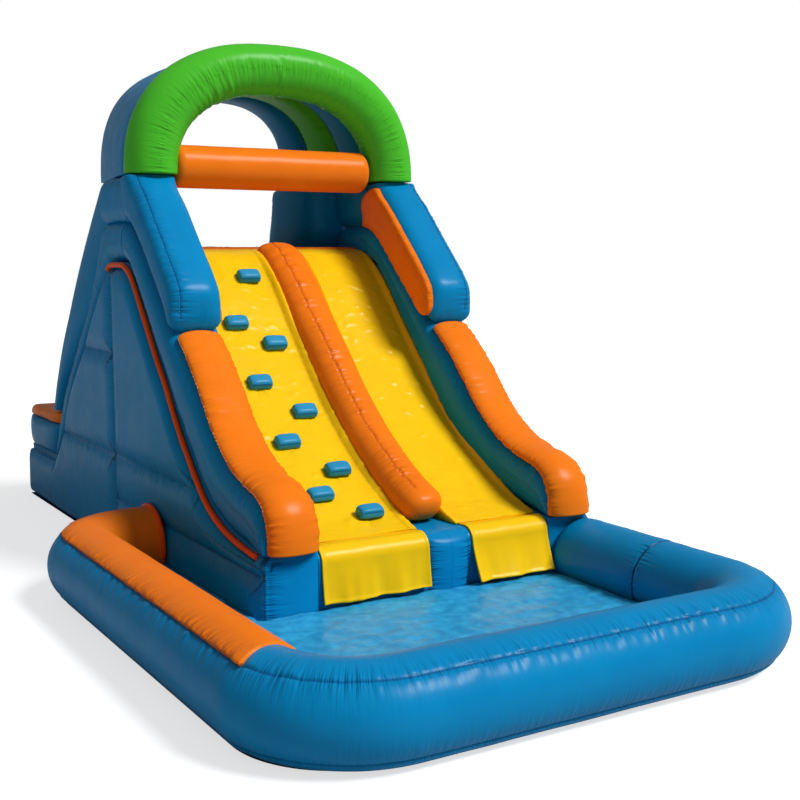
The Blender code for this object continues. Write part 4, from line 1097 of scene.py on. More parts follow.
@dataclass
class Pool:
    """The ring of fat tubes with its orange panel, collar and rippled floor."""

    tower: Tower
    radius: float = 0.168
    level: float = 0.165
    left: float = -0.442
    front: float = -1.210
    rear: float = 1.190
    inset: float = 0.048
    corner: float = 0.340
    rear_corner: float = 0.290
    panel_end: float = -0.925
    panel_slant: float = 0.060
    panel_start: float = 53.0
    panel_stop: float = 205.0
    panel_lift: float = 0.009
    hem_seams: tuple[float, float] = (-44.0, -60.0)
    welt: float = 0.005
    right_seam: float = -0.550
    collar: float = 0.012
    floor_top: float = 0.112
    floor_gap: float = 0.003
    step: float = 0.007
    gather: Gather = Gather(height=0.0062, pitch=0.017, reach=0.062, pinch=0.004)

    @property
    def right(self) -> float:
        """Centre line of the right arm."""
        return self.tower.width - self.inset

    def bend(self, x: float, y: float, radius: float, start: float, stop: float) -> np.ndarray:
        """Points round a corner in plan.

        Args:
            x: Centre of the corner across the tower.
            y: Centre of the corner from front to back.
            radius: Its radius.
            start: First compass angle, in degrees.
            stop: Last one.

        Returns:
            The points, at the tube's level.
        """
        angles = np.radians(np.linspace(start, stop, 40))
        height = np.full(len(angles), self.level)
        return np.column_stack([x + radius * np.cos(angles), y + radius * np.sin(angles), height])

    def left_path(self) -> np.ndarray:
        """Centre line of the left arm, from the tower's side to the end of its panel."""
        radius = self.rear_corner
        start = [[-self.tower.wall_bulge - 2 * GAP, self.rear, self.level]]
        turn = self.bend(self.left + radius, self.rear - radius, radius, 90, 180)
        return np.vstack([start, turn, [[self.left, self.panel_end, self.level]]])

    def front_path(self) -> np.ndarray:
        """Centre line of the front arm with both its corners, and the right arm to its seam."""
        radius, low = self.corner, self.front + self.corner
        first = self.bend(self.left + radius, low, radius, 180, 270)
        first = first[first[:, 1] < self.panel_end - self.panel_slant]
        last = self.bend(self.right - radius, low, radius, 270, 360)
        return np.vstack([first, last, [[self.right, self.right_seam, self.level]]])

    def rings(self, path: np.ndarray, section: np.ndarray, slant: float = 0.0) -> Rings:
        """Rings of a tube along a path.

        Args:
            path: Centre line of the tube.
            section: The tube's unit section.
            slant: How far the last ring leans over at each side.

        Returns:
            The rings.
        """
        even = at(path, np.linspace(0, run_of(path)[-1], round(run_of(path)[-1] / self.step)))
        made = tube(even, self.radius, section, (0.0, 0.0, 1.0))
        runs = run_of(even)
        share = np.clip(1 - (runs[-1] - runs) / 0.16, 0, 1)[:, None] * section[None, :, 0] * slant
        return made + share[..., None] * directions(even)[:, None]

    def hemmed(self, angles: np.ndarray) -> np.ndarray:
        """The tube's round section, with a welted hem low on its outer side.

        Args:
            angles: Angles round the tube, in radians.

        Returns:
            The unit section.
        """
        low, high = np.radians(min(self.hem_seams)), np.radians(max(self.hem_seams))
        turn = (angles + math.pi) % TURN - math.pi
        border = np.minimum(turn - low, high - turn)
        welt = self.welt * np.clip(border / np.radians(2.0), 0, 1)
        fold = sum(np.exp(-(((turn - edge) / np.radians(1.5)) ** 2)) for edge in (low, high))
        return oval(angles, 2) * (1 + (welt - self.welt * fold) / self.radius)[:, None]

    def crescent(self, inner: float) -> tuple[np.ndarray, tuple[int, int]]:
        """The panel's section: a part of the tube's skin, closed along the inside of the tube.

        Args:
            inner: Share of the tube's radius at which it is closed.

        Returns:
            The section, and the indices of its two borders.
        """
        edge = np.radians(np.array([0.0, 2.2, 4.8, 8.6]))
        low, high = math.radians(self.panel_start), math.radians(self.panel_stop)
        count = round((self.panel_stop - self.panel_start) / 5.2)
        middle = np.linspace(low + edge[-1], high - edge[-1], count)
        angles = np.concatenate([low + edge[:-1], middle, (high - edge[:-1])[::-1]])
        inside = inner * oval(np.linspace(high, low, 10), 2)
        return np.vstack([oval(angles, 2), inside]), (0, len(angles) - 1)

    def build(self) -> None:
        """Makes the ring, its panel, its collar and its floor."""
        angles, seams = round_angles(56, (self.panel_start, *self.hem_seams), 0.036)
        skin = self.hemmed(angles)
        sewn = {"columns": (seams[0],), "hems": (seams[1], seams[2]), "gather": self.gather}
        ring = self.rings(np.vstack([self.left_path(), self.front_path()]), skin)
        nodes = ("pool_left_tube", "pool_front_tube")
        Chamber("pool_ring_body", nodes, ring, SKY, rows=(-1,), **sewn).build()
        section, edges = self.crescent(0.90)
        panel = self.rings(self.left_path(), section * (1 + self.panel_lift / self.radius), self.panel_slant)
        Chamber(
            "pool_left_panel", ("pool_left_top",), panel, ORANGE, columns=edges, gather=self.gather,
        ).build()
        path = straight((self.right, self.right_seam, self.level), (self.right, -2 * GAP, self.level), 40)
        arm = stations(self.rings(path, skin), self.step, 0, 0.05)
        Chamber("pool_right_body", ("pool_right_tube",), arm, SKY, rows=(0,), **sewn).build()
        self.build_collar()
        self.build_floor()

    def build_collar(self) -> None:
        """The piped collar where the rear arm meets the tower's side."""
        angles = np.radians(np.linspace(-12, 192, 90))
        round_tube = [self.rear, self.level] + (self.radius + self.collar + 0.001) * oval(angles, 2)
        x = -self.tower.wall_bulge - self.collar - 2 * GAP
        path = np.column_stack([np.full(len(angles), x), round_tube])
        rings = tube(path, self.collar, oval(np.arange(14) * TURN / 14, 2), (1.0, 0.0, 0.0))
        gather = Gather(height=0.001, pitch=0.012, reach=0.02, swell=0.0006, swell_cell=0.05)
        Chamber(
            "pool_collar_piping", ("pool_collar",), stations(rings, 0.009, self.collar, self.collar), PIPING,
            gather=gather,
        ).build()

    def half_width(self, y: np.ndarray) -> tuple[np.ndarray, np.ndarray]:
        """The floor's left and right edge at each place from front to back.

        Args:
            y: The places.

        Returns:
            The left edges and the right ones.
        """
        edge = self.radius + self.floor_gap
        left, right = self.left + edge, self.right - edge
        front, rear = self.front + edge, self.rear - edge
        low, high = self.corner - edge, self.rear_corner - edge
        near = np.clip(low - (y - front), 0, low)
        far = np.clip(high - (rear - y), 0, high)
        inset = low - np.sqrt(np.maximum(low**2 - near**2, 0))
        return left + inset + high - np.sqrt(np.maximum(high**2 - far**2, 0)), right - inset

    def ripples(self, flat: np.ndarray) -> np.ndarray:
        """Height of the wet cloth's ripples at each point of the floor.

        Args:
            flat: The points.

        Returns:
            One height for each.
        """
        wave = crumple(flat + 0.03 * crumple(flat, [0.11] * 3, 5)[:, None], [0.085, 0.05, 1.0], 6)
        wave += 0.55 * crumple(flat, [0.036, 0.052, 1.0], 7)
        return self.floor_top - 0.008 + 0.0058 * wave

    def build_floor(self) -> None:
        """The floor inside the ring, with its bay beside the tower, rippled like wet cloth."""
        edge = self.radius + self.floor_gap
        bay, stop = -self.tower.wall_bulge - 0.008, -0.014
        front, rear = self.front + edge, self.rear - edge
        rows = np.concatenate([
            front + np.linspace(0, 1, 14) ** 2 * 0.17, np.linspace(front + 0.185, stop, 74),
        ])
        back = np.concatenate([
            np.linspace(stop, rear - 0.12, 80)[1:], rear - (1 - np.linspace(0, 1, 12)[1:]) ** 2 * 0.11,
        ])
        inner, outer = np.linspace(0, 1, 24)[None], np.linspace(0, 1, 120)[None, 1:]
        left, right = self.half_width(rows)
        bays = left[:, None] + (bay - left[:, None]) * inner
        main = np.hstack([bays, bay + (right[:, None] - bay) * outer])
        left, _ = self.half_width(back)
        tail = left[:, None] + (bay - left[:, None]) * inner
        flat = np.vstack([
            np.column_stack([xs.ravel(), np.repeat(places, xs.shape[1]), np.zeros(xs.size)])
            for xs, places in ((main, rows), (tail, back))
        ])
        index, more = numbered(main), main.size + numbered(tail)
        lower = np.vstack([index[-1:, : tail.shape[1]], more])
        flat[:, 2] = self.ripples(flat)
        points, faces = slab(flat, np.vstack([quads_over(index), quads_over(lower)]), FLOOR)
        mesh = mesh_of("pool_floor_pad", points + ORIGIN, faces)
        dress(mesh, WATER_BLUE, ("pool_floor",))


@dataclass
class SideWalls:
    """The tall quilted walls, each with its piping along the front limb."""

    tower: Tower
    edge: float = 0.004
    channel: float = 0.10
    depth: float = 0.020
    piping: float = 0.014
    front_puff: float = 0.014
    corner_fill: float = 0.06
    corner_start: float = 0.006
    line_level: float = -0.028
    seam_levels: tuple[float, float, float] = (0.269, 0.503, 1.027)
    gather: Gather = Gather(
        height=0.0032, pitch=0.018, reach=0.060, pinch=0.004, pinch_width=0.010, swell=0.0030,
        swell_cell=0.42,
    )

    @property
    def upright(self) -> float:
        """Place of the upright seam, from the front."""
        return self.tower.deck_front + self.channel / 3

    def outline(self) -> tuple[np.ndarray, np.ndarray]:
        """Places from front to back, and the wall's top at each."""
        tower = self.tower
        edge = np.vstack([tower.panel_edge(), tower.rear_inner_edge()[1:]])
        y = np.concatenate([
            np.linspace(0, 0.03, 6), np.arange(0.042, edge[-1, 0], 0.012),
            np.linspace(edge[-1, 0], tower.depth, 46)[:-8], tower.depth - np.geomspace(0.085, 0.0005, 12),
        ])
        order = np.argsort(edge[:, 0])
        return y, np.interp(y, edge[order, 0], edge[order, 1], right=tower.step_base)

    def bulge(self, y: np.ndarray, z: np.ndarray, rim: np.ndarray) -> np.ndarray:
        """How far the outer face stands out: full inside a cell, less on a seam, none at its rim.

        Args:
            y: Places from front to back.
            z: Levels at these places.
            rim: The face's upper edge there.

        Returns:
            One distance for each place.
        """
        depth = self.tower.depth
        corner = self.corner_fill * np.clip(1 - y / self.channel, 0, 1)
        border = np.minimum.reduce([z - FLOOR, rim - z + corner, y + self.corner_start, depth - y])
        lowest, middle, highest = self.seam_levels
        level = np.where(y > self.upright, np.abs(z - highest), np.abs(z - lowest))
        seams = np.minimum.reduce([np.abs(z - middle), np.abs(y - self.upright), level])
        rise = np.clip(border / self.channel, 0, 1)
        seam = np.clip(seams / self.channel, 0, 1)
        full = self.tower.wall_bulge + self.edge
        return full * np.sqrt(rise * (2 - rise)) - self.depth * (1 - seam) ** 2 * rise

    def seam_lines(self) -> list[np.ndarray]:
        """The sewn lines of the outer face, as lines in space."""
        lowest, middle, highest = self.seam_levels
        upright, front, back = self.upright, 0.02, self.tower.depth - 0.02
        y, top = self.outline()
        rim = np.column_stack([np.full(len(y), self.edge), y, top - 2 * self.piping])
        return [
            *(straight((self.line_level, *start), (self.line_level, *stop)) for start, stop in (
                ((front, lowest), (upright, lowest)), ((front, middle), (back, middle)),
                ((upright, highest), (2.5, highest)), ((upright, FLOOR), (upright, 1.46)),
            )),
            rim, straight((self.edge, 0, FLOOR), (self.edge, 0, top[0]), 60),
        ]

    def rings(self) -> Rings:
        """Rings of the left wall, from its front end to its back."""
        y, top = self.outline()
        slope = np.abs(np.gradient(top, y))
        rim = top - 2.3 * self.piping * np.sqrt(1 + np.minimum(slope, 3) ** 2)
        inner = self.tower.wall - GAP
        inside = [(inner, FLOOR + (top - FLOOR) * share) for share in np.linspace(0, 1, 8)]
        above = [(inner + (self.edge - inner) * share, top) for share in np.linspace(0, 1, 6)[1:]]
        face = []
        for share in np.linspace(0, 1, 76)[::-1]:
            z = FLOOR + (rim - FLOOR) * share
            face.append((self.edge - self.bulge(y, z, rim), z))
        under = [(self.edge + (inner - self.edge) * share, FLOOR) for share in np.linspace(0, 1, 8)[1:-1]]
        columns = [
            np.column_stack([np.broadcast_to(x, len(y)), y, np.broadcast_to(z, len(y))])
            for x, z in (*inside, *above, *face, *under)
        ]
        rings = np.stack(columns, axis=1)
        return np.concatenate([self.front_pad(rings[0]), rings])

    def build(self) -> None:
        """Makes both walls and their piping."""
        rings, lines = self.rings(), self.seam_lines()
        for side in Side:
            name = f"side_wall_{side.value}"
            Chamber(
                f"{name}_skin", (name,), on_side(rings, side, self.tower), SKY,
                lines=[on_side(line, side, self.tower) for line in lines], gather=self.gather, fill=0.85,
            ).build()
            self.build_piping(side)

    def front_pad(self, ring: np.ndarray) -> Rings:
        """Rings that close the wall's front end as a puffed pad, from its middle outwards.

        Args:
            ring: The wall's first ring.

        Returns:
            The rings.
        """
        middle = (ring.max(axis=0) + ring.min(axis=0)) / 2
        shares = np.sin(np.linspace(0.03, 0.97, 18) * math.pi / 2)
        pad = middle + (ring - middle) * shares[:, None, None]
        pad[..., 1] -= self.front_puff * np.sqrt(1 - shares**2)[:, None]
        return pad

    def build_piping(self, side: Side) -> None:
        """The piping round the peak of the wall.

        Args:
            side: The side.
        """
        tower, size = self.tower, self.piping
        edge = np.vstack([tower.panel_edge()[12:], tower.rear_inner_edge()[1:44]])
        edge = at_shares(edge, np.linspace(0, 1, 240))
        centre = edge - normals_of(edge) * size
        path = np.column_stack([np.full(len(edge), self.edge - size - 2 * GAP), centre])
        section = oval(np.arange(14) * TURN / 14, 2)
        rings = stations(tube(path, size, section, (1.0, 0.0, 0.0)), 0.010, size, size)
        name = f"side_piping_{side.value}"
        gather = Gather(height=0.0008, reach=0.02, swell=0.0012, swell_cell=0.07)
        Chamber(f"{name}_tape", (name,), on_side(rings, side, tower), PIPING, gather=gather).build()


@dataclass
class Limbs:
    """The puffed limbs of each side, with the bolster, head and lintel that lie on them."""

    tower: Tower
    seams: tuple[float, ...] = (45.0, 135.0, 225.0, 315.0)
    crown: float = 0.066
    top_crown: float = 0.034
    tuck: float = 0.014
    head_share: float = 13 / 22
    head_reach: float = 0.675
    head_lean: float = 0.04
    head_bulge: float = 0.018
    head_seat: float = 0.9
    panel: float = 0.010
    panel_inset: float = 0.16
    hidden_inset: float = 0.44
    panel_overhang: float = 0.12
    inner_puff: float = 0.030
    step: float = 0.006
    gather: Gather = Gather()

    def front_sections(self) -> tuple[Curve, Curve]:
        """Top and bottom curve of the front limb, paired as its stations lie."""
        edge = self.tower.front_edge()
        split = run_of(edge)[crossing(edge, self.tower.head_foot)] / run_of(edge)[-1]
        share, turn = np.linspace(0, 1, 300), self.head_share
        upper = split + (share - turn) / (1 - turn) * (1 - split)
        along = np.where(share < turn, share / turn * split, upper)
        return at_shares(edge, along), at_shares(self.tower.panel_edge(), share)

    def build(self) -> None:
        """Makes every chamber of both sides."""
        for side in Side:
            self.build_limbs(side)
            self.build_bolster(side)
            self.build_head(side)
            self.build_lintel(side)

    def chamber(self, side: Side, name: str, rings: Rings, cloth: CoatedCloth, **more) -> None:
        """Builds a chamber of one side.

        Args:
            side: The side.
            name: Name of its node, without the side.
            rings: Its rings, as on the left side.
            cloth: Its cloth.
            **more: What else the chamber takes.
        """
        name = f"{name}_{side.value}"
        Chamber(f"{name}_skin", (name,), on_side(rings, side, self.tower), cloth, **more).build()

    def build_limbs(self, side: Side) -> None:
        """The limb up the lane's outer side and the limb down the back.

        Args:
            side: The side.
        """
        tower = self.tower
        angles, seams = round_angles(40, self.seams, 0.05)
        section, sewn = oval(angles, 3.0), {"columns": tuple(seams), "gather": self.gather}
        top, bottom = self.front_sections()
        high = tower.wall + self.inner_puff * np.clip((top[:, 1] - 0.62) / 0.3, 0, 1)
        rings = stations(strip(top, bottom, -tower.limb_bulge, high, section), self.step, 0.03, 0.03)
        self.chamber(side, "front_limb", rings, SKY, **sewn)
        top, bottom = (
            at_shares(edge, np.linspace(0, 1, 300)) + np.array([GAP, 0])
            for edge in (tower.rear_outer_edge(), tower.rear_inner_edge())
        )
        rings = strip(top, bottom, -tower.limb_bulge / 2, tower.wall - GAP, section)
        self.chamber(side, "rear_limb", stations(rings, 2 * self.step, 0.03, 0.03), SKY, **sewn)

    def build_bolster(self, side: Side) -> None:
        """The crowned cushion on the lower front, fat at its nose.

        Args:
            side: The side.
        """
        tower = self.tower
        edge = tower.front_edge()
        seat = at_shares(edge[: crossing(edge, tower.head_foot) + 1], np.linspace(0, 1, 240))
        share = np.linspace(0, 1, len(seat))
        low, high = self.tuck * share, np.full(len(seat), tower.wall - GAP)
        crown = self.crown + (self.top_crown - self.crown) * np.clip(2 * share, 0, 1)
        border = np.array([0.0, 0.06, 0.14])
        angles = np.concatenate([border, np.linspace(0.28, math.pi - 0.28, 30), math.pi - border[::-1]])
        section = cushion(angles, 2.1, 0.05, 10)
        centre = np.column_stack([(low + high) / 2, seat])
        across = np.column_stack([(high - low) / 2, np.zeros((len(seat), 2))])
        up = np.column_stack([np.zeros(len(seat)), normals_of(seat) * crown[:, None]])
        rings = stations(swept(centre, across, up, section), self.step, 0.014, 0.035, 2.6)
        rings[..., 2] = np.maximum(rings[..., 2], tower.base_height + GAP)
        self.chamber(
            side, "bolster", rings, ORANGE, columns=(1, 34), stitched=(34,), floor=tower.base_height + GAP,
            gather=replace(self.gather, height=0.0056, reach=0.085, fade=0.13),
        )

    def head_edges(self) -> tuple[Curve, Curve]:
        """Front and back side-view edges of a head cushion, from its lower end up."""
        tower = self.tower
        edge = tower.front_edge()
        seat = edge[crossing(edge, tower.head_foot) :]
        tip = np.array([tower.cheek_depth + self.head_lean, tower.crown])
        front = side_curve(HEAD_FRONT_SHARES, (tower.cheek_depth - self.head_reach, seat[0, 1]), tuple(tip))
        share = np.linspace(0, 1, 200)
        along = at_shares(seat, np.clip(share / self.head_seat, 0, 1))
        over = np.clip((share - self.head_seat) / (1 - self.head_seat), 0, 1)[:, None]
        back = along * (1 - over) + (seat[-1] + (tip - seat[-1]) * over) * over
        return at_shares(front, share), back

    def build_head(self, side: Side) -> None:
        """The padded head, blue at its front and outside, with its orange panel towards the lanes.

        Args:
            side: The side.
        """
        front, back = self.head_edges()
        seam = self.tower.wall + self.head_bulge / 2
        angles, seams = round_angles(60, (232.0, 125.0, 308.0), 0.045)
        skin = strip(front, back, -self.head_bulge, seam + 0.5 * self.panel, oval(angles, 3.2))
        self.chamber(
            side, "head_cushion", stations(skin, self.step, 0.07, 0.022, 2.4), SKY, columns=tuple(seams),
            stitched=(seams[1] + 1,), gather=replace(self.gather, height=0.005, reach=0.05, pinch=0.003),
        )
        inset, rise = (self.hidden_inset, 2.0) if side is Side.LEFT else (self.panel_inset, 3.4)
        edge = front + (back - front) * inset
        if side is Side.RIGHT:
            back = back + (back - front) * self.panel_overhang
        section = cushion(np.linspace(0, math.pi, 30), 2.6, 0.25, 8, -0.6)
        centre = np.column_stack([np.full(len(edge), seam + GAP), (edge + back) / 2])
        across = np.column_stack([np.zeros(len(edge)), (edge - back) / 2])
        rings = swept(centre, across, np.array([self.panel * rise, 0, 0]), section)
        self.chamber(
            side, "head_panel", stations(rings[14:-4], self.step, 0.05, 0.04, 2.6), ORANGE,
            columns=(0, 29), gather=replace(self.gather, height=0.004),
        )

    def build_lintel(self, side: Side) -> None:
        """The short chamber that carries the arch behind the head cushion.

        Args:
            side: The side.
        """
        tower = self.tower
        front, low = tower.cheek_depth - 0.06, tower.lintel_bottom - 0.03
        top = np.linspace((front, tower.crown), (tower.leg_front, tower.crown), 60)
        bottom = np.linspace((front, low), (tower.leg_front, low), 60)
        angles, seams = round_angles(40, self.seams, 0.05)
        rings = strip(top, bottom, -tower.limb_bulge / 2, tower.wall + 0.01, oval(angles, 3.0))
        self.chamber(
            side, "lintel", stations(rings, 0.011, 0.04, 0.03), SKY, columns=tuple(seams), gather=self.gather,
        )


@dataclass
class Rear:
    """The back of the tower: legs, step, wall and deck."""

    tower: Tower
    overhang: float = 0.030
    toe: float = 0.14
    step: float = 0.013
    deck_seams: tuple[float, float] = (0.62, 1.0)
    gather: Gather = Gather()

    def behind_limb(self, low: float, high: float) -> Curve:
        """The back of the rear limb between two levels, from the lower level up.

        Args:
            low: The lower level.
            high: The upper one.

        Returns:
            The curve.
        """
        edge = self.tower.rear_outer_edge() + np.array([4 * GAP, 0])
        order = np.argsort(edge[:, 1], kind="stable")
        levels = np.linspace(low, high, 24)
        return np.column_stack([np.interp(levels, edge[order, 1], edge[order, 0]), levels])

    def build(self) -> None:
        """Makes every chamber of the back."""
        self.build_legs()
        self.build_step()
        self.build_wall()
        self.build_deck()

    def build_legs(self) -> None:
        """The fat legs, drawn inwards at their tops to carry the back of the arch."""
        tower = self.tower
        foot, crown = tower.step_top + GAP, tower.crown
        low = self.behind_limb(foot, tower.lintel_bottom)[::-1]
        upright = [[tower.leg_front, crown], [tower.leg_front, tower.lintel_bottom]]
        front = np.vstack([upright, low[low[:, 0] > tower.leg_front + GAP]])
        top = (tower.leg_front + tower.leg_depth, foot)
        rear = side_curve(LEG_REAR_SHARES, top, (front[-1, 0] + self.toe, crown))
        rear, front = (at_shares(edge, np.linspace(0, 1, 240)) for edge in (rear, front))
        level = (rear[:, 1] + front[:, 1]) / 2
        lift = np.clip((level - tower.panel_top / 2) / (tower.shoulder - tower.panel_top / 2), 0, 1)
        inner = tower.rear_inset * lift**2 - tower.limb_bulge
        angles, seams = round_angles(44, (48.0, 132.0, 228.0, 312.0), 0.05)
        rings = stations(strip(rear, front, inner, tower.leg_inner, oval(angles, 2.8)), 0.012, 0.05, 0.03)
        for side in Side:
            name = f"rear_leg_{side.value}"
            Chamber(
                f"{name}_skin", (name,), on_side(rings, side, tower), SKY, columns=tuple(seams),
                gather=self.gather, floor=foot,
            ).build()

    def across(self, outline: Curve, low: float, high: float, ends: float, passes: int = 5) -> Rings:
        """Rings of a chamber across the tower with one side-view outline.

        Args:
            outline: The outline's corners.
            low: Its left end.
            high: Its right end.
            ends: Length of the dome at each end. Zero leaves both flat.
            passes: How round the outline's corners are worn.

        Returns:
            The rings.
        """
        rings = along_x(np.linspace(low, high, 200), rounded(outline, 96, passes))
        return stations(rings, self.step, ends, ends, 2.8) if ends else rings

    def build_step(self) -> None:
        """The step across the back, blue below its seam and orange above, and the block under it."""
        tower, over = self.tower, self.overhang
        low, seam, high = tower.step_base + GAP, tower.step_seam, tower.step_top
        back = tower.depth + over
        rise, cap = seam - low, high - seam - GAP
        blue = np.vstack([self.behind_limb(low, seam), [
            [back - over, seam], [back, seam - 0.4 * rise], [back - over / 2, low + 0.2 * rise],
            [back - 2 * over, low],
        ]])
        orange = np.vstack([self.behind_limb(seam + GAP, high), [
            [back - 0.22, high], [back - 0.12, high - 0.12 * cap], [back - over - 0.03, high - 0.4 * cap],
            [back - over, seam + GAP],
        ]])
        left, right = -over, tower.width + over
        for name, node, outline, cloth in (
            ("rear_step_skin", "rear_step_tube", blue, SKY),
            ("rear_step_top_skin", "rear_step_top", orange, ORANGE),
        ):
            y = outline[:, 0].max() - 0.005
            lines = [straight((left, y, seam), (right, y, seam))]
            for x in (left, right):
                lines.append(straight((x, outline[0, 0], seam), (x, back - 0.03, seam), 60))
            rings = self.across(outline, left, right, 0.06)
            Chamber(name, (node,), rings, cloth, lines=lines, gather=self.gather, floor=low).build()
        lower = np.array([
            [tower.step_front, FLOOR], [tower.depth, FLOOR], [tower.depth, low - 0.03],
            [tower.depth - 0.03, low], [tower.step_front, low],
        ])
        rings = self.across(lower, tower.wall + GAP, tower.lane_right - GAP, 0, passes=3)
        lines = [
            straight((tower.wall, tower.depth, z), (tower.lane_right, tower.depth, z)) for z in (0.02, 0.3)
        ]
        Chamber("rear_base_skin", ("rear_lower_tube",), rings, SKY, lines=lines, gather=self.gather).build()

    def build_wall(self) -> None:
        """The upright chamber that closes the back between the legs."""
        tower = self.tower
        foot, crown = tower.step_top + GAP, tower.deck_height - tower.deck_thickness - 4 * GAP
        back, toe = tower.deck_front + tower.deck_depth, tower.step_front + tower.rear_inset
        rear = np.linspace((toe, foot), (back, crown), 120)
        front = rear - np.array([tower.deck_thickness + tower.wall_bulge, 0])
        angles, seams = round_angles(60, (20.0, 160.0, 90.0), 0.03)
        low, high = tower.leg_inner + GAP, tower.width - tower.leg_inner - GAP
        rings = stations(strip(rear, front, low, high, oval(angles, 5)), self.step, 0, 0)
        Chamber(
            "rear_wall_skin", ("rear_wall",), rings, SKY, columns=tuple(seams), gather=self.gather,
            floor=foot,
        ).build()

    def build_deck(self) -> None:
        """The deck at the top of the lanes, which narrows between the legs."""
        tower = self.tower
        top, bottom = tower.deck_height + tower.deck_lip, tower.deck_height - tower.deck_thickness
        start, neck = tower.deck_front, tower.leg_front
        y = np.concatenate([
            start + np.geomspace(0.001, 0.03, 8), np.linspace(start + 0.04, neck - 0.04, 30),
            np.linspace(neck - 0.03, neck + 0.01, 8), np.linspace(neck + 0.02, start + tower.deck_depth, 46),
        ])
        inside = (tower.leg_inner - tower.wall + 2 * GAP) * np.clip((y - neck + 0.03) / 0.03, 0, 1)
        drop = 0.012 * (1 - np.clip((y - start) / 0.03, 0, 1)) ** 2
        rings = []
        for place, inset, lower in zip(y, inside, drop):
            low, high = tower.wall + inset, tower.width - tower.wall - inset
            box = np.array([[low, bottom], [high, bottom], [high, top - lower], [low, top - lower]])
            loop = rounded(box, 220, 6)
            rings.append(np.column_stack([loop[:, 0], np.full(len(loop), place), loop[:, 1]]))
        lines = [straight((x, 1.75, top), (x, 2.5, top), 80) for x in self.deck_seams]
        Chamber("deck_pad", ("deck",), np.array(rings), ORANGE, lines=lines, gather=self.gather).build()


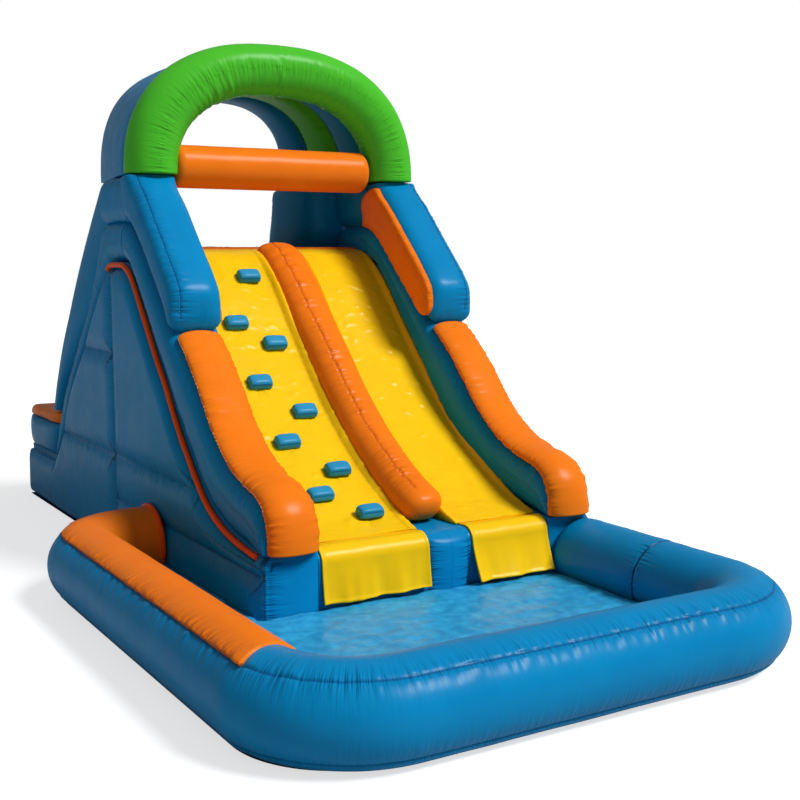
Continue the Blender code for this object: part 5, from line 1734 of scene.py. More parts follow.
@dataclass
class Lanes:
    """The climbing lane, the slide lane and the padded ridge between them."""

    tower: Tower
    thickness: float = 0.14
    edge_rise: float = 0.026
    lane_crown: float = 0.010
    spread: float = 0.034
    crest: float = 0.110
    top_crest: float = 0.045
    root: float = 0.100
    nose: float = 0.10
    seam_angle: float = 108.0
    hold_width: float = 0.115
    hold_length: float = 0.075
    hold_height: float = 0.048
    hold_left: float = 0.218
    hold_right: float = 0.382
    fold_height: float = 0.0060
    gather: Gather = Gather(height=0.0018, pitch=0.020, reach=0.040)

    def build(self) -> None:
        """Makes both lanes, the divider and the holds."""
        tower = self.tower
        self.build_lane("climbing_lane", tower.lane_left, tower.divider_left, 0.0)
        self.build_lane("slide_lane", tower.divider_right, tower.lane_right, self.spread)
        self.build_divider()
        self.build_holds()

    def build_lane(self, name: str, left: float, right: float, spread: float) -> None:
        """One lane: a padded bed whose side edges rise a little.

        Args:
            name: Name of its node.
            left: Its left edge.
            right: Its right edge.
            spread: How far the left edge moves in towards the top.
        """
        tower = self.tower
        path = at_shares(tower.lane_edge(), np.linspace(0, 1, 400))
        normals = normals_of(path)
        share = np.linspace(0, 1, len(path))
        side = np.linspace(-1, -0.80, 8)
        across = np.concatenate([side, np.linspace(-0.76, 0.76, 64), -side[::-1]])
        profile = np.interp(across, *np.array(LANE_CROSS_SHARES).T)
        grow = (np.minimum(1, share * 3.4) * np.minimum(1, (1 - share) * 7))[:, None]
        lift = grow * (self.edge_rise * profile + self.lane_crown * np.clip(1 - (across / 0.8) ** 2, 0, 1))
        low = left + spread * share
        middle, half = (low + right)[:, None] / 2, (right - low)[:, None] / 2 - GAP
        deep = np.minimum(self.thickness, (path[:, 1] - tower.base_height - GAP) / normals[:, 1])
        back = np.linspace(1, -1, 8)
        faces = ((across, lift), (back, np.repeat(-deep[:, None], len(back), 1)))
        rings = np.concatenate([
            np.dstack([middle + half * place, *(path.T[..., None] + normals.T[..., None] * rise)])
            for place, rise in faces
        ], axis=1)
        edges = [rings[:, 6], rings[:, 73]]
        climbing = name == "climbing_lane"
        if climbing:
            edges += [rings[4:, 2], rings[4:, 77]]
        Chamber(
            f"{name}_bed", (name,), rings, YELLOW, lines=edges, gather=self.gather, fill=0.8,
            floor=tower.base_height + GAP, shape=self.pressed if climbing else self.stretched,
        ).build()

    def hold_places(self) -> list[tuple[np.ndarray, np.ndarray, np.ndarray]]:
        """Middle, run and normal of each hold, on the climbing lane."""
        tower = self.tower
        path = tower.lane_edge()
        places = []
        for index, share in enumerate(HOLD_SHARES):
            y = tower.lane_front + (tower.deck_front - tower.lane_front) * share
            near = int(np.argmin(np.abs(path[:, 0] - y)))
            run = path[near + 5] - path[near - 5]
            run /= np.linalg.norm(run)
            x = tower.lane_left + (self.hold_left if index % 2 else self.hold_right)
            middle = np.array([x, *path[near]])
            places.append((middle, np.array([0.0, *run]), np.array([0.0, -run[1], run[0]])))
        return places

    def pressed(self, points: np.ndarray, normals: np.ndarray) -> np.ndarray:
        """Sinks the lane's cloth round each hold and lets it pucker away from it.

        Args:
            points: Points of the lane's skin.
            normals: Their normals.

        Returns:
            The moved points.
        """
        moved = points.copy()
        upper = normals[:, 2] > 0.2
        for index, (middle, _, _) in enumerate(self.hold_places()):
            offset = points - middle
            turn = np.arctan2(offset[:, 0], offset[:, 1] + offset[:, 2])
            rays = line_noise(turn * 3.2 + 20, 1.0, 60 + index)
            fall = np.exp(-((np.linalg.norm(offset, axis=1) / 0.11) ** 2))
            moved -= normals * ((0.007 * fall - 0.004 * rays * fall) * upper)[:, None]
        return self.stretched(moved, normals)

    def stretched(self, points: np.ndarray, normals: np.ndarray) -> np.ndarray:
        """Long slanting folds, as sliding feet drag the cloth down.

        Args:
            points: Points of the lane's skin.
            normals: Their normals.

        Returns:
            The moved points.
        """
        slant = points + points[:, :1] * [0.0, 0.42, -0.5]
        folds = crumple(slant, [0.085, 0.026, 0.038], 77)
        folds = np.maximum(folds, 0) ** 2 + 0.25 * crumple(slant, [0.12, 0.05, 0.06], 78)
        return points + normals * (self.fold_height * folds * (normals[:, 2] > 0.2))[:, None]

    def build_divider(self) -> None:
        """The padded ridge, with a stitched seam a little left of its crest."""
        tower = self.tower
        edge = tower.lane_edge()
        start = int(np.argmax(edge[:, 0] > tower.lane_front + self.nose - 0.03))
        path = at_shares(edge[start:], np.linspace(0, 1, 260))
        normals = normals_of(path)
        share = np.linspace(0, 1, len(path))
        crest = self.top_crest + (self.crest - self.top_crest) * np.clip((1 - share) / 0.42, 0, 1)
        root = np.minimum(self.root, (path[:, 1] - tower.base_height - GAP) / normals[:, 1])
        top, bottom = path + normals * crest[:, None], path - normals * root[:, None]
        right = tower.divider_right - GAP + self.spread * (0.06 + 0.94 * share - 1 / 14)
        angles, seams = round_angles(52, (self.seam_angle,), 0.035)
        rings = strip(top, bottom, tower.divider_left + GAP, right, oval(angles, 2.5))
        Chamber(
            "lane_divider_skin", ("lane_divider",), stations(rings, 0.006, self.nose, 0.03, 2.5), ORANGE,
            columns=tuple(seams), stitched=(seams[0] + 1,), floor=tower.base_height + 5 * GAP,
            gather=Gather(height=0.0068, pitch=0.012, reach=0.075, pinch=0.002, fade=0.12),
        ).build()

    def build_holds(self) -> None:
        """Soft rounded holds with a welt round their tops."""
        section = np.delete(cushion(np.linspace(0, math.pi, 22), 3.2, 0.18, 8), (22, -1), axis=0)
        turn = np.linspace(0.08, math.pi - 0.08, 26)
        reach = -np.sign(np.cos(turn)) * np.abs(np.cos(turn)) ** 0.55 * self.hold_width / 2
        width = (np.sin(turn) ** 0.42)[:, None]
        gather = Gather(0.0010, 0.016, 0.014, 0.0016, 0.004, 0.0008, 0.05)
        for number, (middle, run, normal) in enumerate(self.hold_places(), 1):
            centre = middle + normal * 0.003 + reach[:, None] * [1, 0, 0]
            across = run * self.hold_length / 2 * (0.55 + 0.45 * width)
            up = normal * self.hold_height * (0.45 + 0.55 * width)
            name = f"climbing_hold_{number}"
            Chamber(
                f"{name}_pad", (name,), swept(centre, across, up, section), HOLD_BLUE, columns=(4, 17),
                gather=gather, floor=0.3,
            ).build()


@dataclass(frozen=True)
class Apron:
    """Sizes of one loose flap, in metres."""

    name: str
    body: str
    left: float
    right: float
    stand_off: float


@dataclass
class Base:
    """The cross tube under the lanes and the loose aprons that hang over it."""

    tower: Tower
    round: float = 0.060
    tube_depth: float = 0.34
    hem: float = 0.125
    pad_puff: float = 0.026
    sheet_rise: float = 0.004
    sewn_rise: float = 0.0012
    welt: float = 0.012
    tail: float = 0.007
    wave: float = 0.015

    def outline(self, offset: float) -> Curve:
        """Side view of the base's front, from its top down to its foot, moved outwards.

        Args:
            offset: How far outwards, in metres.

        Returns:
            The curve.
        """
        tower = self.tower
        turn = (self.round + offset) * oval(np.radians(np.linspace(90, 180, 24)), 2)
        turn += [self.round, tower.base_height - self.round]
        return np.vstack([[tower.lane_front, tower.base_height + offset], turn])

    def build(self) -> None:
        """Makes the base tube and both aprons."""
        tower = self.tower
        outline = np.vstack([self.outline(0)[1:], [
            [0, tower.base_height / 2], [0.01, FLOOR], [self.tube_depth, FLOOR],
            [self.tube_depth, tower.base_height],
        ]])
        rings = along_x(np.arange(tower.wall + GAP, tower.lane_right, 0.007), rounded(outline, 110, 2))
        lines = [
            straight((x, 0, 0.02), (x, 0, 0.33), 40)
            for x in (tower.divider_left + 0.005, tower.divider_right - 0.005)
        ]
        Chamber(
            "base_front_skin", ("base_front_tube",), rings, SKY, lines=lines, shape=self.padded_front,
            gather=Gather(height=0.004, pitch=0.014, reach=0.05, pinch=0.004),
        ).build()
        left, right = tower.lane_left + 0.014, tower.divider_left - 0.002
        self.build_apron(Apron("climbing_apron", "climbing_flap", left, right, 0.012))
        left, right = tower.divider_right + 0.018, tower.lane_right - 0.008
        self.build_apron(Apron("slide_apron", "slide_flap", left, right, 0.050))

    def padded_front(self, points: np.ndarray, normals: np.ndarray) -> np.ndarray:
        """Swells the bare stretch of the base between the aprons into a pad.

        Args:
            points: Points of the base's skin.
            normals: Their normals, which it doesn't need.

        Returns:
            The moved points.
        """
        tower = self.tower
        middle, half = (tower.divider_left + tower.divider_right) / 2, tower.divider_width / 2
        across = np.clip(1 - ((points[:, 0] - middle) / half) ** 2, 0, 1)
        upright = np.clip(1 - ((points[:, 2] - 0.19) / 0.19) ** 2, 0, 1)
        forward = np.clip(1 - points[:, 1] / 0.08, 0, 1)
        moved = points.copy()
        moved[:, 1] -= self.pad_puff * np.sqrt(across * upright) * forward
        return moved

    def drape(self, apron: Apron, path: Curve, x: np.ndarray) -> tuple[np.ndarray, np.ndarray]:
        """A flap that lies over the base and hangs from it in folds.

        Args:
            apron: The flap.
            path: Its side view, from its sewn edge to its hem.
            x: Places across it.

        Returns:
            The points of its middle as a grid, and how far its outer face lies from each.
        """
        runs, seed = run_of(path), seed_of(apron.name)
        grid = np.dstack([
            np.repeat(x[None], len(path), 0), *(np.repeat(path[:, k, None], len(x), 1) for k in (0, 1)),
        ])
        flat, size = grid.reshape(-1, 3), grid.shape[:2]
        loose = np.clip((runs - 0.14) / 0.22, 0, 1)[:, None]
        folds = line_noise(x, 0.075, seed)[None] + 0.5 * line_noise(x, 0.034, seed + 1)[None]
        grid[..., 1] -= (self.wave * (folds + 0.7) * loose).clip(0)
        grid[..., 1] -= (0.0016 * crumple(flat, [0.05, 0.05, 0.035], seed + 2)).reshape(size) * loose
        grid[..., 2] += (0.0014 * crumple(flat, [0.07, 0.03, 1], seed + 3)).reshape(size) * (1 - loose)
        grid[-1, :, 2] += 0.005 * line_noise(x, 0.12, seed + 4)
        inside = np.minimum(np.minimum(x - apron.left, apron.right - x)[None], (runs[-1] - runs)[:, None])
        hem = np.clip((self.welt - inside) / 0.003, 0, 1) * np.clip(runs / 0.05, 0, 1)[:, None]
        thick = np.interp(runs, (0, 0.05), (0.0007, 0.0018))[:, None] + 0.0030 * hem
        lift = np.zeros_like(grid)
        lift[..., 1:] = normals_of(path)[:, None] * thick[..., None]
        return grid, lift

    def build_apron(self, apron: Apron) -> None:
        """One loose flap over the front of the base, with a turned hem.

        Args:
            apron: The flap.
        """
        edge = self.outline(self.sheet_rise)
        edge[0] += np.array([self.tail, self.sewn_rise - self.sheet_rise])
        share = np.linspace(0, 1, 26)[1:, None]
        fall = edge[-1, 1] - self.hem
        hang = edge[-1] + np.column_stack([-apron.stand_off * share**1.4, -fall * share])
        path = at_shares(np.vstack([edge, hang]), np.linspace(0, 1, 56))
        border = np.array([0, 0.005, 0.011, 0.019])
        width, runs = apron.right - apron.left, run_of(path)
        shares = np.concatenate([border, np.linspace(0.035, 0.965, 58), 1 - border[::-1]])
        grid, lift = self.drape(apron, path, apron.left + width * shares)
        points = np.vstack([(grid + lift).reshape(-1, 3), (grid - lift).reshape(-1, 3)])
        index = numbered(grid)
        rim = np.concatenate([index[0, :-1], index[:-1, -1], index[-1, :0:-1], index[:0:-1, 0]])
        after, size = np.roll(rim, -1), index.size
        wall = np.column_stack([after, rim, rim + size, after + size])
        quads = quads_over(index)
        faces = outward(points, [np.vstack([quads, quads[:, ::-1] + size, wall])])
        mesh = mesh_of(f"{apron.name}_cloth", points + ORIGIN, *faces)
        distance, place = beside([grid[-5]], points)
        # Far from any seam, so the apron gets no painted seam shade
        keep_seam_places(mesh, place, distance + 12 * HIDDEN_SEAM)
        made = dress(mesh, YELLOW, (apron.name,), apron.body)


@dataclass
class Arch:
    """The vaulted arch over the deck, its linings and the crossbar."""

    tower: Tower
    band_depth: float = 0.26
    rise: float = 0.680
    band_thickness: float = 0.26
    roof_thickness: float = 0.065
    roof_inset: float = 0.018
    roof_drop: float = 0.005
    lining_thickness: float = 0.100
    lining_depth: float = 0.275
    centre: float = 1.58
    power: float = 2.35
    rear_power: float = 2.75
    bar_radius: float = 0.108
    bar_height: float = 1.967
    bar_centre: float = 1.60
    bar_clearance: float = 0.0103
    bar_tuck: float = 0.035
    step: float = 0.007
    bundle_turn: float = 1.60
    bundle_width: float = 0.055
    gather: Gather = Gather(height=0.0036, pitch=0.013, reach=0.05)

    def placed(self, flat: np.ndarray, y: float) -> np.ndarray:
        """Points of an arch at a place front to back, from its outline about its own middle."""
        across, up = (flat + [self.tower.width / 2, self.tower.shoulder]).T
        return np.column_stack([across, np.full(len(flat), y), up])

    def front(self, angle: np.ndarray, depth: float, y: float) -> np.ndarray:
        """Points of the front band's arch.

        Args:
            angle: Angles round the arch, in radians.
            depth: How far under its outer face, in metres.
            y: Place front to back.

        Returns:
            One point for each angle.
        """
        half, rise = self.tower.width / 2 - depth, self.rise - depth
        return self.placed(oval(angle, self.power) * [half, rise], y)

    def vault(self, angle: np.ndarray, depth: float, y: float) -> np.ndarray:
        """Points of the vault behind the front band. It narrows to the back.

        Args:
            angle: Angles round the arch, in radians.
            depth: How far under its outer face, in metres.
            y: Place front to back.

        Returns:
            One point for each angle.
        """
        middle, near = self.tower.width / 2, self.roof_inset + depth
        front = oval(angle, self.power) * [middle - near, self.rise - near]
        side, top = self.tower.rear_inset + depth, near + self.roof_drop
        back = oval(angle, self.rear_power) * [middle - side, self.rise - top]
        start = self.centre + self.band_depth / 2 + GAP
        share = (y - start) / (self.lining_depth * 3 + 2 * GAP)
        return self.placed(front + (back - front) * share, y)

    def shell(
        self, shape: Callable, y: tuple[float, float], depths: tuple[float, float], section: np.ndarray
    ) -> Rings:
        """Rings of a band of an arch.

        Args:
            shape: The arch, as a method that takes angles, a depth and a place.
            y: The band's front and back.
            depths: Depths of its outer and its inner side.
            section: The unit section.

        Returns:
            The rings.
        """
        angle = np.linspace(0, math.pi, 260)
        outer_a, inner_a, outer_b, inner_b = (shape(angle, depth, place) for place in y for depth in depths)
        centre = (outer_a + inner_a + outer_b + inner_b) / 4
        across = (outer_b + inner_b - outer_a - inner_a) / 4
        up = (outer_a + outer_b - inner_a - inner_b) / 4
        return stations(swept(centre, across, up, section), self.step, 0.006, 0.006)

    def build(self) -> None:
        """Makes the band, the roof, the linings and the bar."""
        floor = self.tower.shoulder
        low, high = self.centre - self.band_depth / 2, self.centre + self.band_depth / 2
        angles, seams = round_angles(46, (270.0, 180.0), 0.035)
        band = self.shell(self.front, (low, high), (0.0, self.band_thickness), oval(angles, 2.1))
        Chamber(
            "arch_band_skin", ("arch_front_band",), band, GREEN, columns=tuple(seams), gather=self.gather,
            shape=self.bunched, floor=floor,
        ).build()
        near = high + GAP
        far = near + self.lining_depth * 3 + 2 * GAP
        angles, seams = round_angles(60, (90.0, 20.0, 160.0), 0.02)
        roof = self.shell(self.vault, (near, far), (0.0, self.roof_thickness), oval(angles, 3.2))
        Chamber(
            "arch_roof_skin", ("arch_roof",), roof, SKY, columns=tuple(seams[1:]), floor=floor,
            gather=replace(self.gather, height=0.0022, pitch=0.02),
        ).build()
        under = self.roof_thickness + 0.0004
        angles, seams = round_angles(40, (0.0, 180.0), 0.04)
        for index, (cloth, growth) in enumerate(((SKY, 1.0), (GREEN, 1.05), (SKY, 1.15))):
            start = near + (self.lining_depth + GAP) * index
            depths = (under, under + self.lining_thickness * growth)
            rings = self.shell(self.vault, (start, start + self.lining_depth), depths, oval(angles, 2.4))
            name = f"arch_lining_{index + 1}"
            Chamber(
                f"{name}_skin", (name,), rings, cloth, columns=tuple(seams), gather=self.gather, floor=floor,
            ).build()
        self.build_bar()

    def bunched(self, points: np.ndarray, normals: np.ndarray) -> np.ndarray:
        """Radial creases where the band turns tightly, deepest on its inner side.

        Args:
            points: Points of the band's skin.
            normals: Their normals.

        Returns:
            The moved points.
        """
        tower = self.tower
        offset = points - [tower.width / 2, self.centre, tower.shoulder]
        turn = np.arctan2(offset[:, 2], offset[:, 0])
        tight = np.exp(-(((np.abs(turn - math.pi / 2) - 0.62) / 0.30) ** 2))
        arch = oval(turn, self.power) * [tower.width / 2, self.rise]
        under = np.linalg.norm(arch, axis=1) - np.hypot(offset[:, 0], offset[:, 2])
        inside = np.clip(under / self.band_thickness, 0, 1)
        creases = line_noise(turn + 7, 0.030, 91) + 0.6 * line_noise(turn + 7, 0.014, 92)
        height = 0.0034 * creases * (0.2 + tight) * inside**2.2
        bundle = np.exp(-(((turn - self.bundle_turn) / self.bundle_width) ** 2)) * (0.25 + 0.75 * inside)
        height += 0.0060 * line_noise(turn * 3 + 4 * np.sin(3 * inside), 0.055, 93) * bundle
        return points + normals * height[:, None]

    def build_bar(self) -> None:
        """The crossbar, gathered at its rounded ends."""
        foot = self.band_thickness + self.bar_clearance
        place = (self.bar_centre, self.bar_height)
        path = straight((foot - self.bar_tuck, *place), (self.tower.width - foot, *place), 200)
        angles, _ = round_angles(40, (200.0, 20.0), 0.05)
        bar = tube(path, self.bar_radius, oval(angles, 2), (0.0, 0.0, 1.0))
        Chamber(
            "crossbar_skin", ("crossbar",), stations(bar, self.step, 0.05, 0.05, 2.6), ORANGE,
            floor=self.bar_height - self.bar_radius - 0.01,
        ).build()


def wrapped(name: str, loops: np.ndarray) -> bpy.types.Mesh:
    """A skin that goes round a hole: loops of points joined in turn and back to the first.

    Args:
        name: Name of the piece.
        loops: Points, as (loops, points in each, 3).

    Returns:
        The mesh.
    """
    index = np.pad(numbered(loops), ((0, 1), (0, 1)), mode="wrap")
    points = loops.reshape(-1, 3)
    return mesh_of(name, points + ORIGIN, *outward(points, [quads_over(index.T)]))


@dataclass
class Fittings:
    """The blower sleeve, the vent, the webbing tabs with their rings, and the ground sheet."""

    tower: Tower
    pool: Pool
    sleeve_place: float = 1.17
    sleeve_radius: float = 0.095
    sleeve_length: float = 0.24
    level: float = 0.165
    vent_place: float = 0.45
    vent_radius: float = 0.070
    vent_wall: float = 0.012
    vent_length: float = 0.022
    vent_lip: float = 0.0025
    cap_thickness: float = 0.010
    tab_place: float = 0.110
    tab_level: float = 0.150
    tab_width: float = 0.030
    tab_height: float = 0.048
    tab_thickness: float = 0.0018
    eye_depth: float = 0.012
    ring_rod: float = 0.004
    ring_width: float = 0.050
    ring_drop: float = 0.046
    sheet_thickness: float = 0.0045

    def build(self) -> None:
        """Makes every fitting."""
        self.build_sleeve()
        self.build_vent()
        for side in Side:
            self.build_anchor(side)
        self.build_ground()

    def round_loop(self, x: float, y: float, radius: np.ndarray | float, count: int = 72) -> np.ndarray:
        """A circle that faces along Y at the fittings' level.

        Args:
            x: Its middle across the tower.
            y: Its place front to back.
            radius: Its radius, one number or one for each point.
            count: Its points.

        Returns:
            The points.
        """
        angles = np.arange(count) * TURN / count
        return np.column_stack([
            x + radius * np.cos(angles), np.full(count, y), self.level + radius * np.sin(angles),
        ])

    def build_sleeve(self) -> None:
        """The blower sleeve: a slack tube of cloth with a hem at its mouth."""
        angles = np.arange(72) * TURN / 72
        outer, inner = [], []
        for share in np.linspace(0, 1, 40):
            slack = 1 + 0.035 * np.sin(angles * 5 + 1) * share**1.5 + 0.02 * np.sin(angles * 9) * share
            radius = (self.sleeve_radius - 0.006) * slack
            hem = 0.0022 if share > 0.88 else 0.0010
            y = self.tower.depth + 2 * GAP + self.sleeve_length * share
            outer.append(self.round_loop(self.sleeve_place, y, radius + hem))
            inner.append(self.round_loop(self.sleeve_place, y, radius - hem))
        mesh = wrapped("blower_sleeve_cloth", np.array(outer + inner[::-1]))
        made = dress(mesh, SKY, ("blower_sleeve",))

    def build_vent(self) -> None:
        """The moulded ring of the deflation vent, and its cap."""
        back, length, wall, lip = self.tower.depth + 2 * GAP, self.vent_length, self.vent_wall, self.vent_lip
        profile = (
            (0, 0), (0, lip * 2), (lip, lip * 2.6), (length - lip, lip * 2.6), (length, lip * 1.6),
            (length, -wall + lip), (length - lip, -wall), (0, -wall),
        )
        base = self.vent_radius - lip * 2.6
        loops = [self.round_loop(self.vent_place, back + y, base + out, 64) for y, out in profile]
        dress(wrapped("vent_ring_moulding", np.array(loops)), PLASTIC, ("vent_ring",))
        self.build_cap(back + length + 2 * GAP)

    def build_cap(self, face: float) -> None:
        """The vent's cap, with a grip across it.

        Args:
            face: Place of its inner side, front to back.
        """
        rows = (
            (0.0, 0.90), (0.0, 0.985), (0.2, 1.0), (0.55, 1.0), (0.85, 0.975), (0.98, 0.93), (1.0, 0.88),
            (0.80, 0.84), (0.74, 0.80), (0.72, 0.30),
        )
        rings = [
            self.round_loop(self.vent_place, face + self.cap_thickness * y, self.vent_radius * share, 64)
            for y, share in rows
        ]
        points, faces = skin_of(np.array(rings))
        grip = np.clip(1.35 - np.abs(points[:, 2] - self.level) / 0.007, 0, 1)
        grip *= np.abs(points[:, 0] - self.vent_place) < 0.8 * self.vent_radius
        grip *= points[:, 1] > face + 0.5 * self.cap_thickness
        points[:, 1] += grip * (face + self.cap_thickness - points[:, 1]).clip(0) * 0.95
        dress(mesh_of("vent_cap_moulding", points + ORIGIN, *faces), PLASTIC, ("vent_cap",), "vent_lid")

    def build_anchor(self, side: Side) -> None:
        """A folded webbing tab and the plated ring that hangs in it.

        Args:
            side: The side.
        """
        x = self.tab_place if side is Side.LEFT else self.tower.width - self.tab_place
        half = self.tab_thickness / 2
        back = self.tower.depth + 2 * GAP + half
        eye = np.array([x, self.tower.depth + GAP + self.eye_depth, self.tab_level])
        bend = oval(np.radians(np.linspace(112, -112, 24)), 2) * (self.ring_rod + 0.0004 + half)
        upright = np.linspace((back, eye[2] + self.tab_height), (back, eye[2] + 0.013), 10)
        flat = np.vstack([upright, eye[1:] + bend, [[back, eye[2] - 0.0135]]])
        path = at_shares(smooth(flat, 4), np.linspace(0, 1, 60))
        normals = normals_of(path)
        outline = np.vstack([path + normals * half, (path - normals * half)[::-1]])
        loops = along_x(x + np.linspace(-1, 1, 9) * self.tab_width / 2, outline)
        name = f"anchor_tab_{side.value}"
        dress(self.strap_mesh(f"{name}_webbing", loops), WEBBING, (name,))
        self.build_ring(side, eye)

    def strap_mesh(self, name: str, loops: np.ndarray) -> bpy.types.Mesh:
        """A strap's closed mesh from its cross-cuts, each cut closed by a strip of quads.

        Args:
            name: Name of the piece.
            loops: Points of each cut, out along one face and back along the other.

        Returns:
            The mesh.
        """
        index, half = numbered(loops), loops.shape[1] // 2
        first, last = (quads_over(np.stack([row[:half], row[half:][::-1]], 1)) for row in index[[0, -1]])
        sides = quads_over(np.pad(index, ((0, 0), (0, 1)), mode="wrap"))
        points = loops.reshape(-1, 3)
        mesh = mesh_of(name, points + ORIGIN, *outward(points, [np.vstack([sides, first[:, ::-1], last])]))
        mesh.shade_flat()
        return mesh

    def build_ring(self, side: Side, eye: np.ndarray) -> None:
        """A D-shaped ring of round rod, whose straight side lies in the tab's eye.

        Args:
            side: The side.
            eye: Middle of the eye.
        """
        half = self.ring_width / 2
        arc = half * oval(np.radians(np.linspace(0, -180, 40)), 2) - [0, self.ring_drop - half]
        flat = np.vstack([
            np.column_stack([np.linspace(-0.8, 0.8, 16) * half, np.zeros(16)]), [[half, -self.ring_rod]],
            arc, [[-half, -self.ring_rod]],
        ])
        even = rounded(flat, 96, 2)
        run = np.roll(even, -1, axis=0) - np.roll(even, 1, axis=0)
        run /= np.linalg.norm(run, axis=1)[:, None]
        still = np.zeros(len(even))
        centre = eye + np.column_stack([even[:, 0], still, even[:, 1]])
        out = np.column_stack([run[:, 1], still, -run[:, 0]])
        section = oval(np.arange(14) * TURN / 14, 2) * self.ring_rod
        name = f"anchor_ring_{side.value}"
        rod = wrapped(f"{name}_rod", swept(centre, out, np.array([0.0, 1.0, 0.0]), section))
        dress(rod, ZINC, (name,), f"{side.value}_ring")

    def build_ground(self) -> None:
        """The dark sheet under the whole slide."""
        tower, pool = self.tower, self.pool
        reach = pool.radius / 2
        left, front, right = pool.left - reach, pool.front - reach / 4, pool.right + reach
        radius, side = pool.corner + reach / 2, tower.wall_bulge / 2
        last = pool.rear_corner + reach / 2
        outline = np.vstack([
            pool.bend(left + radius, front + radius, radius, 180, 270),
            pool.bend(right - radius, front + radius, radius, 270, 360),
            [[right, -0.003, 0], [tower.width + side, 0, 0], [tower.width + side, tower.depth - side, 0],
             [-side, tower.depth - side, 0], [-side, pool.rear + reach, 0]],
            pool.bend(left + last, pool.rear + reach / 2 - pool.rear_corner, last, 90, 180),
        ])[:, :2]
        count = len(outline)
        points = np.vstack([
            np.column_stack([outline, np.full(count, z)]) for z in (0.0004, self.sheet_thickness)
        ])
        faces = [tuple(reversed(range(count))), tuple(range(count, 2 * count))]
        faces += [(i, (i + 1) % count, count + (i + 1) % count, count + i) for i in range(count)]
        mesh = bpy.data.meshes.new("ground_sheet_cloth")
        mesh.from_pydata((points + ORIGIN).tolist(), [], faces)
        made = dress(mesh, GROUND, ("ground_sheet",))


@dataclass
class Stitching:
    """The lock stitches along the seams that show, as short raised lengths of thread."""

    pitch: float = 0.021
    length: float = 0.0125
    radius: float = 0.0013
    lines: dict[CoatedCloth, list[np.ndarray]] = field(default_factory=dict)

    def follow(self, line: np.ndarray, cloth: CoatedCloth) -> None:
        """Takes one more line to sew along.

        Args:
            line: Its points, in the frame.
            cloth: The cloth that it is sewn in.
        """
        count = max(3, round(run_of(line)[-1] / 0.01))
        self.lines.setdefault(cloth, []).append(at_shares(line, np.linspace(0, 1, count)))

    def tree(self, finish: bpy.types.Material) -> Tree:
        """The node group that lays a stitch at each pitch along its input's edges.

        Args:
            finish: The thread's material.

        Returns:
            The node group.
        """
        tree = bpy.data.node_groups.new("lock stitches", "GeometryNodeTree")
        tree.interface.new_socket("Geometry", in_out="INPUT", socket_type="NodeSocketGeometry")
        for name in ("Pitch", "Length", "Radius"):
            tree.interface.new_socket(name, in_out="INPUT", socket_type="NodeSocketFloat")
        tree.interface.new_socket("Geometry", in_out="OUTPUT", socket_type="NodeSocketGeometry")
        given = add(tree, "NodeGroupInput").outputs
        curve = add(tree, "GeometryNodeMeshToCurve", {0: given["Geometry"]})
        even = add(
            tree, "GeometryNodeResampleCurve", {"Curve": curve.outputs[0], "Length": given["Pitch"]},
            mode="LENGTH",
        )
        points = add(tree, "GeometryNodeCurveToPoints", {"Curve": even.outputs[0]}, mode="EVALUATED").outputs
        stitch = add(
            tree, "GeometryNodeMeshCylinder",
            {"Vertices": 6, "Side Segments": 3, "Radius": given["Radius"], "Depth": given["Length"]},
        )
        placed = add(
            tree, "GeometryNodeInstanceOnPoints",
            {"Points": points["Points"], "Instance": stitch.outputs["Mesh"], "Rotation": points["Rotation"]},
        )
        real = add(tree, "GeometryNodeRealizeInstances", {0: placed.outputs[0]})
        shaded = add(tree, "GeometryNodeSetShadeSmooth", {0: real.outputs[0]})
        dressed = add(tree, "GeometryNodeSetMaterial", {"Geometry": shaded.outputs[0], "Material": finish})
        add(tree, "NodeGroupOutput", {0: dressed.outputs[0]})
        return tree

    def build(self) -> None:
        """Sews every line, one cloth after another."""
        for cloth, lines in self.lines.items():
            self.sew(lines, thread_for(cloth))

    def sew(self, lines: list[np.ndarray], thread: CoatedCloth) -> None:
        """Sews the lines of one cloth and makes the thread a plain mesh.

        Args:
            lines: Points of each line.
            thread: The thread's finish.
        """
        edges, first = [], 0
        for line in lines:
            edges += [(first + i, first + i + 1) for i in range(len(line) - 1)]
            first += len(line)
        mesh = bpy.data.meshes.new("seam_guides")
        mesh.from_pydata(np.vstack(lines).tolist(), edges, [])
        guide = show("seam_guides", mesh, thread.material())
        modifier = guide.modifiers.new("stitches", "NODES")
        modifier.node_group = self.tree(thread.material())
        sizes = {"Pitch": self.pitch, "Length": self.length, "Radius": self.radius}
        for socket in modifier.node_group.interface.items_tree:
            if socket.in_out == "INPUT" and socket.name in sizes:
                modifier[socket.identifier] = sizes[socket.name]
        seen = guide.evaluated_get(bpy.context.evaluated_depsgraph_get())
        sewn = bpy.data.meshes.new_from_object(seen)
        guide.modifiers.clear()
        bpy.data.objects.remove(guide)
        sewn.materials.clear()
        sewn.name = f"stitches_{thread.slot}"
        dress(sewn, thread, ())


SEWING = Stitching()


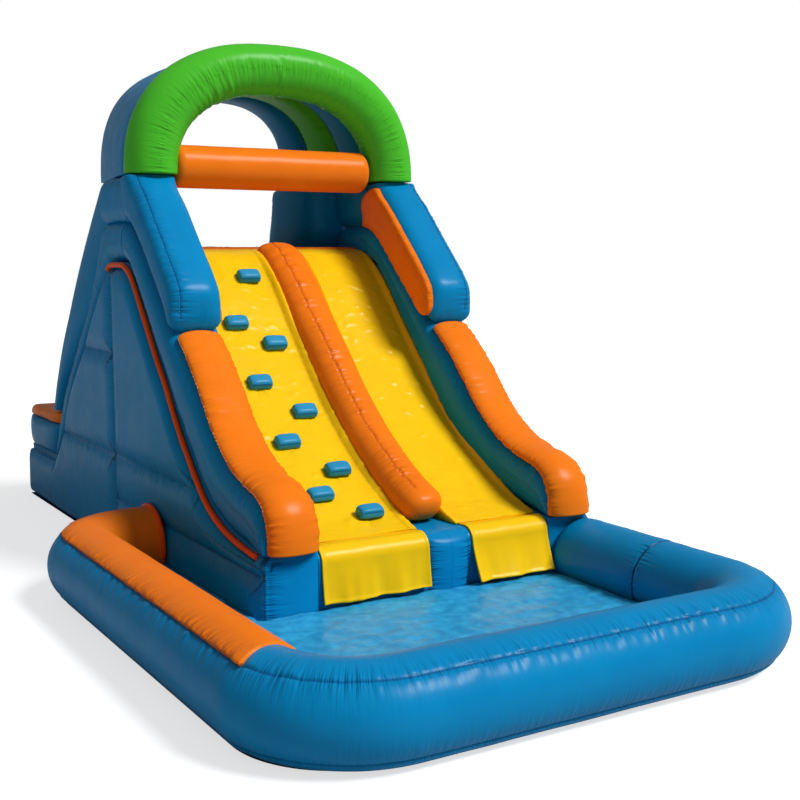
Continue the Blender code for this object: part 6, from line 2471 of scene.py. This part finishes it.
@dataclass(frozen=True)
class Stage:
    """Pale floor, plain soft light, and a camera at the photograph's angle."""

    place: tuple[float, float, float] = (-2.5267, -5.4272, 1.55)
    turn: float = 0.546713934
    tilt: float = 0.12370352
    lens: float = 54.238
    key_strength: float = 3.0
    key_softness: float = 20.0
    key_turn: tuple[float, float, float] = (42.0, 0.0, 38.0)
    sky_strength: float = 0.22
    mirror_share: float = 0.05
    floor_glow: float = 0.67
    floor_size: float = 60.0

    def build(self) -> None:
        """Makes the floor, the world, the lamps and the camera."""
        self.build_floor()
        self.build_world()
        self.build_sun()
        self.build_camera()
        bpy.context.scene.view_settings.view_transform = "Standard"

    def seen(self, tree: Tree) -> Socket:
        """One for rays from the camera and refracted ones, a share for mirrored ones, else nought.

        Args:
            tree: The node tree.

        Returns:
            The socket of that share.
        """
        path = add(tree, "ShaderNodeLightPath").outputs
        mirrored = {0: path["Is Glossy Ray"], 1: self.mirror_share}
        seen = add(tree, "ShaderNodeMath", mirrored, operation="MULTIPLY").outputs[0]
        for kind in ("Is Camera Ray", "Is Transmission Ray"):
            seen = add(tree, "ShaderNodeMath", {0: path[kind], 1: seen}, operation="MAXIMUM").outputs[0]
        return seen

    def build_floor(self) -> None:
        """A wide white floor that keeps the slide's shadow."""
        half = self.floor_size / 2
        mesh = bpy.data.meshes.new("studio_floor")
        corners = [(-half, -half, 0), (half, -half, 0), (half, half, 0), (-half, half, 0)]
        mesh.from_pydata(corners, [], [(0, 1, 2, 3)])
        finish = bpy.data.materials.new("matt white paper")
        finish.use_nodes = True
        tree = finish.node_tree
        shader = tree.nodes["Principled BSDF"]
        shader.inputs["Base Color"].default_value = (0.55, 0.55, 0.55, 1)
        shader.inputs["Roughness"].default_value = 0.95
        shader.inputs["Specular IOR Level"].default_value = 0.0
        shader.inputs["Emission Color"].default_value = (1, 1, 1, 1)
        glow = add(tree, "ShaderNodeMath", {0: self.seen(tree), 1: self.floor_glow}, operation="MULTIPLY")
        tree.links.new(glow.outputs[0], shader.inputs["Emission Strength"])
        show("studio_floor", mesh, finish)

    def build_world(self) -> None:
        """A white surround to look at, and a soft grey one to be lit by."""
        world = bpy.data.worlds.new("studio surround")
        world.use_nodes = True
        tree = world.node_tree
        back = tree.nodes["Background"]
        back.inputs["Color"].default_value = (1, 1, 1, 1)
        share = add(
            tree, "ShaderNodeMapRange", {0: self.seen(tree), 1: 0.0, 2: 1.0, 3: self.sky_strength, 4: 1.0},
        )
        tree.links.new(share.outputs[0], back.inputs["Strength"])
        bpy.context.scene.world = world

    def build_sun(self) -> None:
        """One wide soft lamp from far away, so the floor is lit evenly."""
        lamp = bpy.data.lights.new("key", "SUN")
        lamp.energy = self.key_strength
        lamp.angle = math.radians(self.key_softness)
        made = bpy.data.objects.new("key", lamp)
        made.rotation_euler = [math.radians(angle) for angle in self.key_turn]
        bpy.context.scene.collection.objects.link(made)

    def build_camera(self) -> None:
        """The camera, where the photograph was taken from."""
        camera = bpy.data.cameras.new("camera")
        camera.lens = self.lens
        camera.sensor_width = 36.0
        camera.clip_end = 200.0
        made = bpy.data.objects.new("camera", camera)
        made.location = self.place
        made.rotation_euler = (math.pi / 2 - self.tilt, 0, -self.turn)
        bpy.context.scene.collection.objects.link(made)
        bpy.context.scene.camera = made


def main() -> None:
    """Builds the stage and every sub-assembly in order, then sews."""
    logging.basicConfig(level=logging.INFO, format="%(message)s")
    Stage().build()
    tower = Tower()
    pool = Pool(tower)
    for assembly in (
        pool, SideWalls(tower), Limbs(tower), Rear(tower), Lanes(tower), Base(tower), Arch(tower),
        Fittings(tower, pool),
    ):
        LOG.info("building %s", type(assembly).__name__)
        assembly.build()
    SEWING.build()


if __name__ == "__main__":
    main()
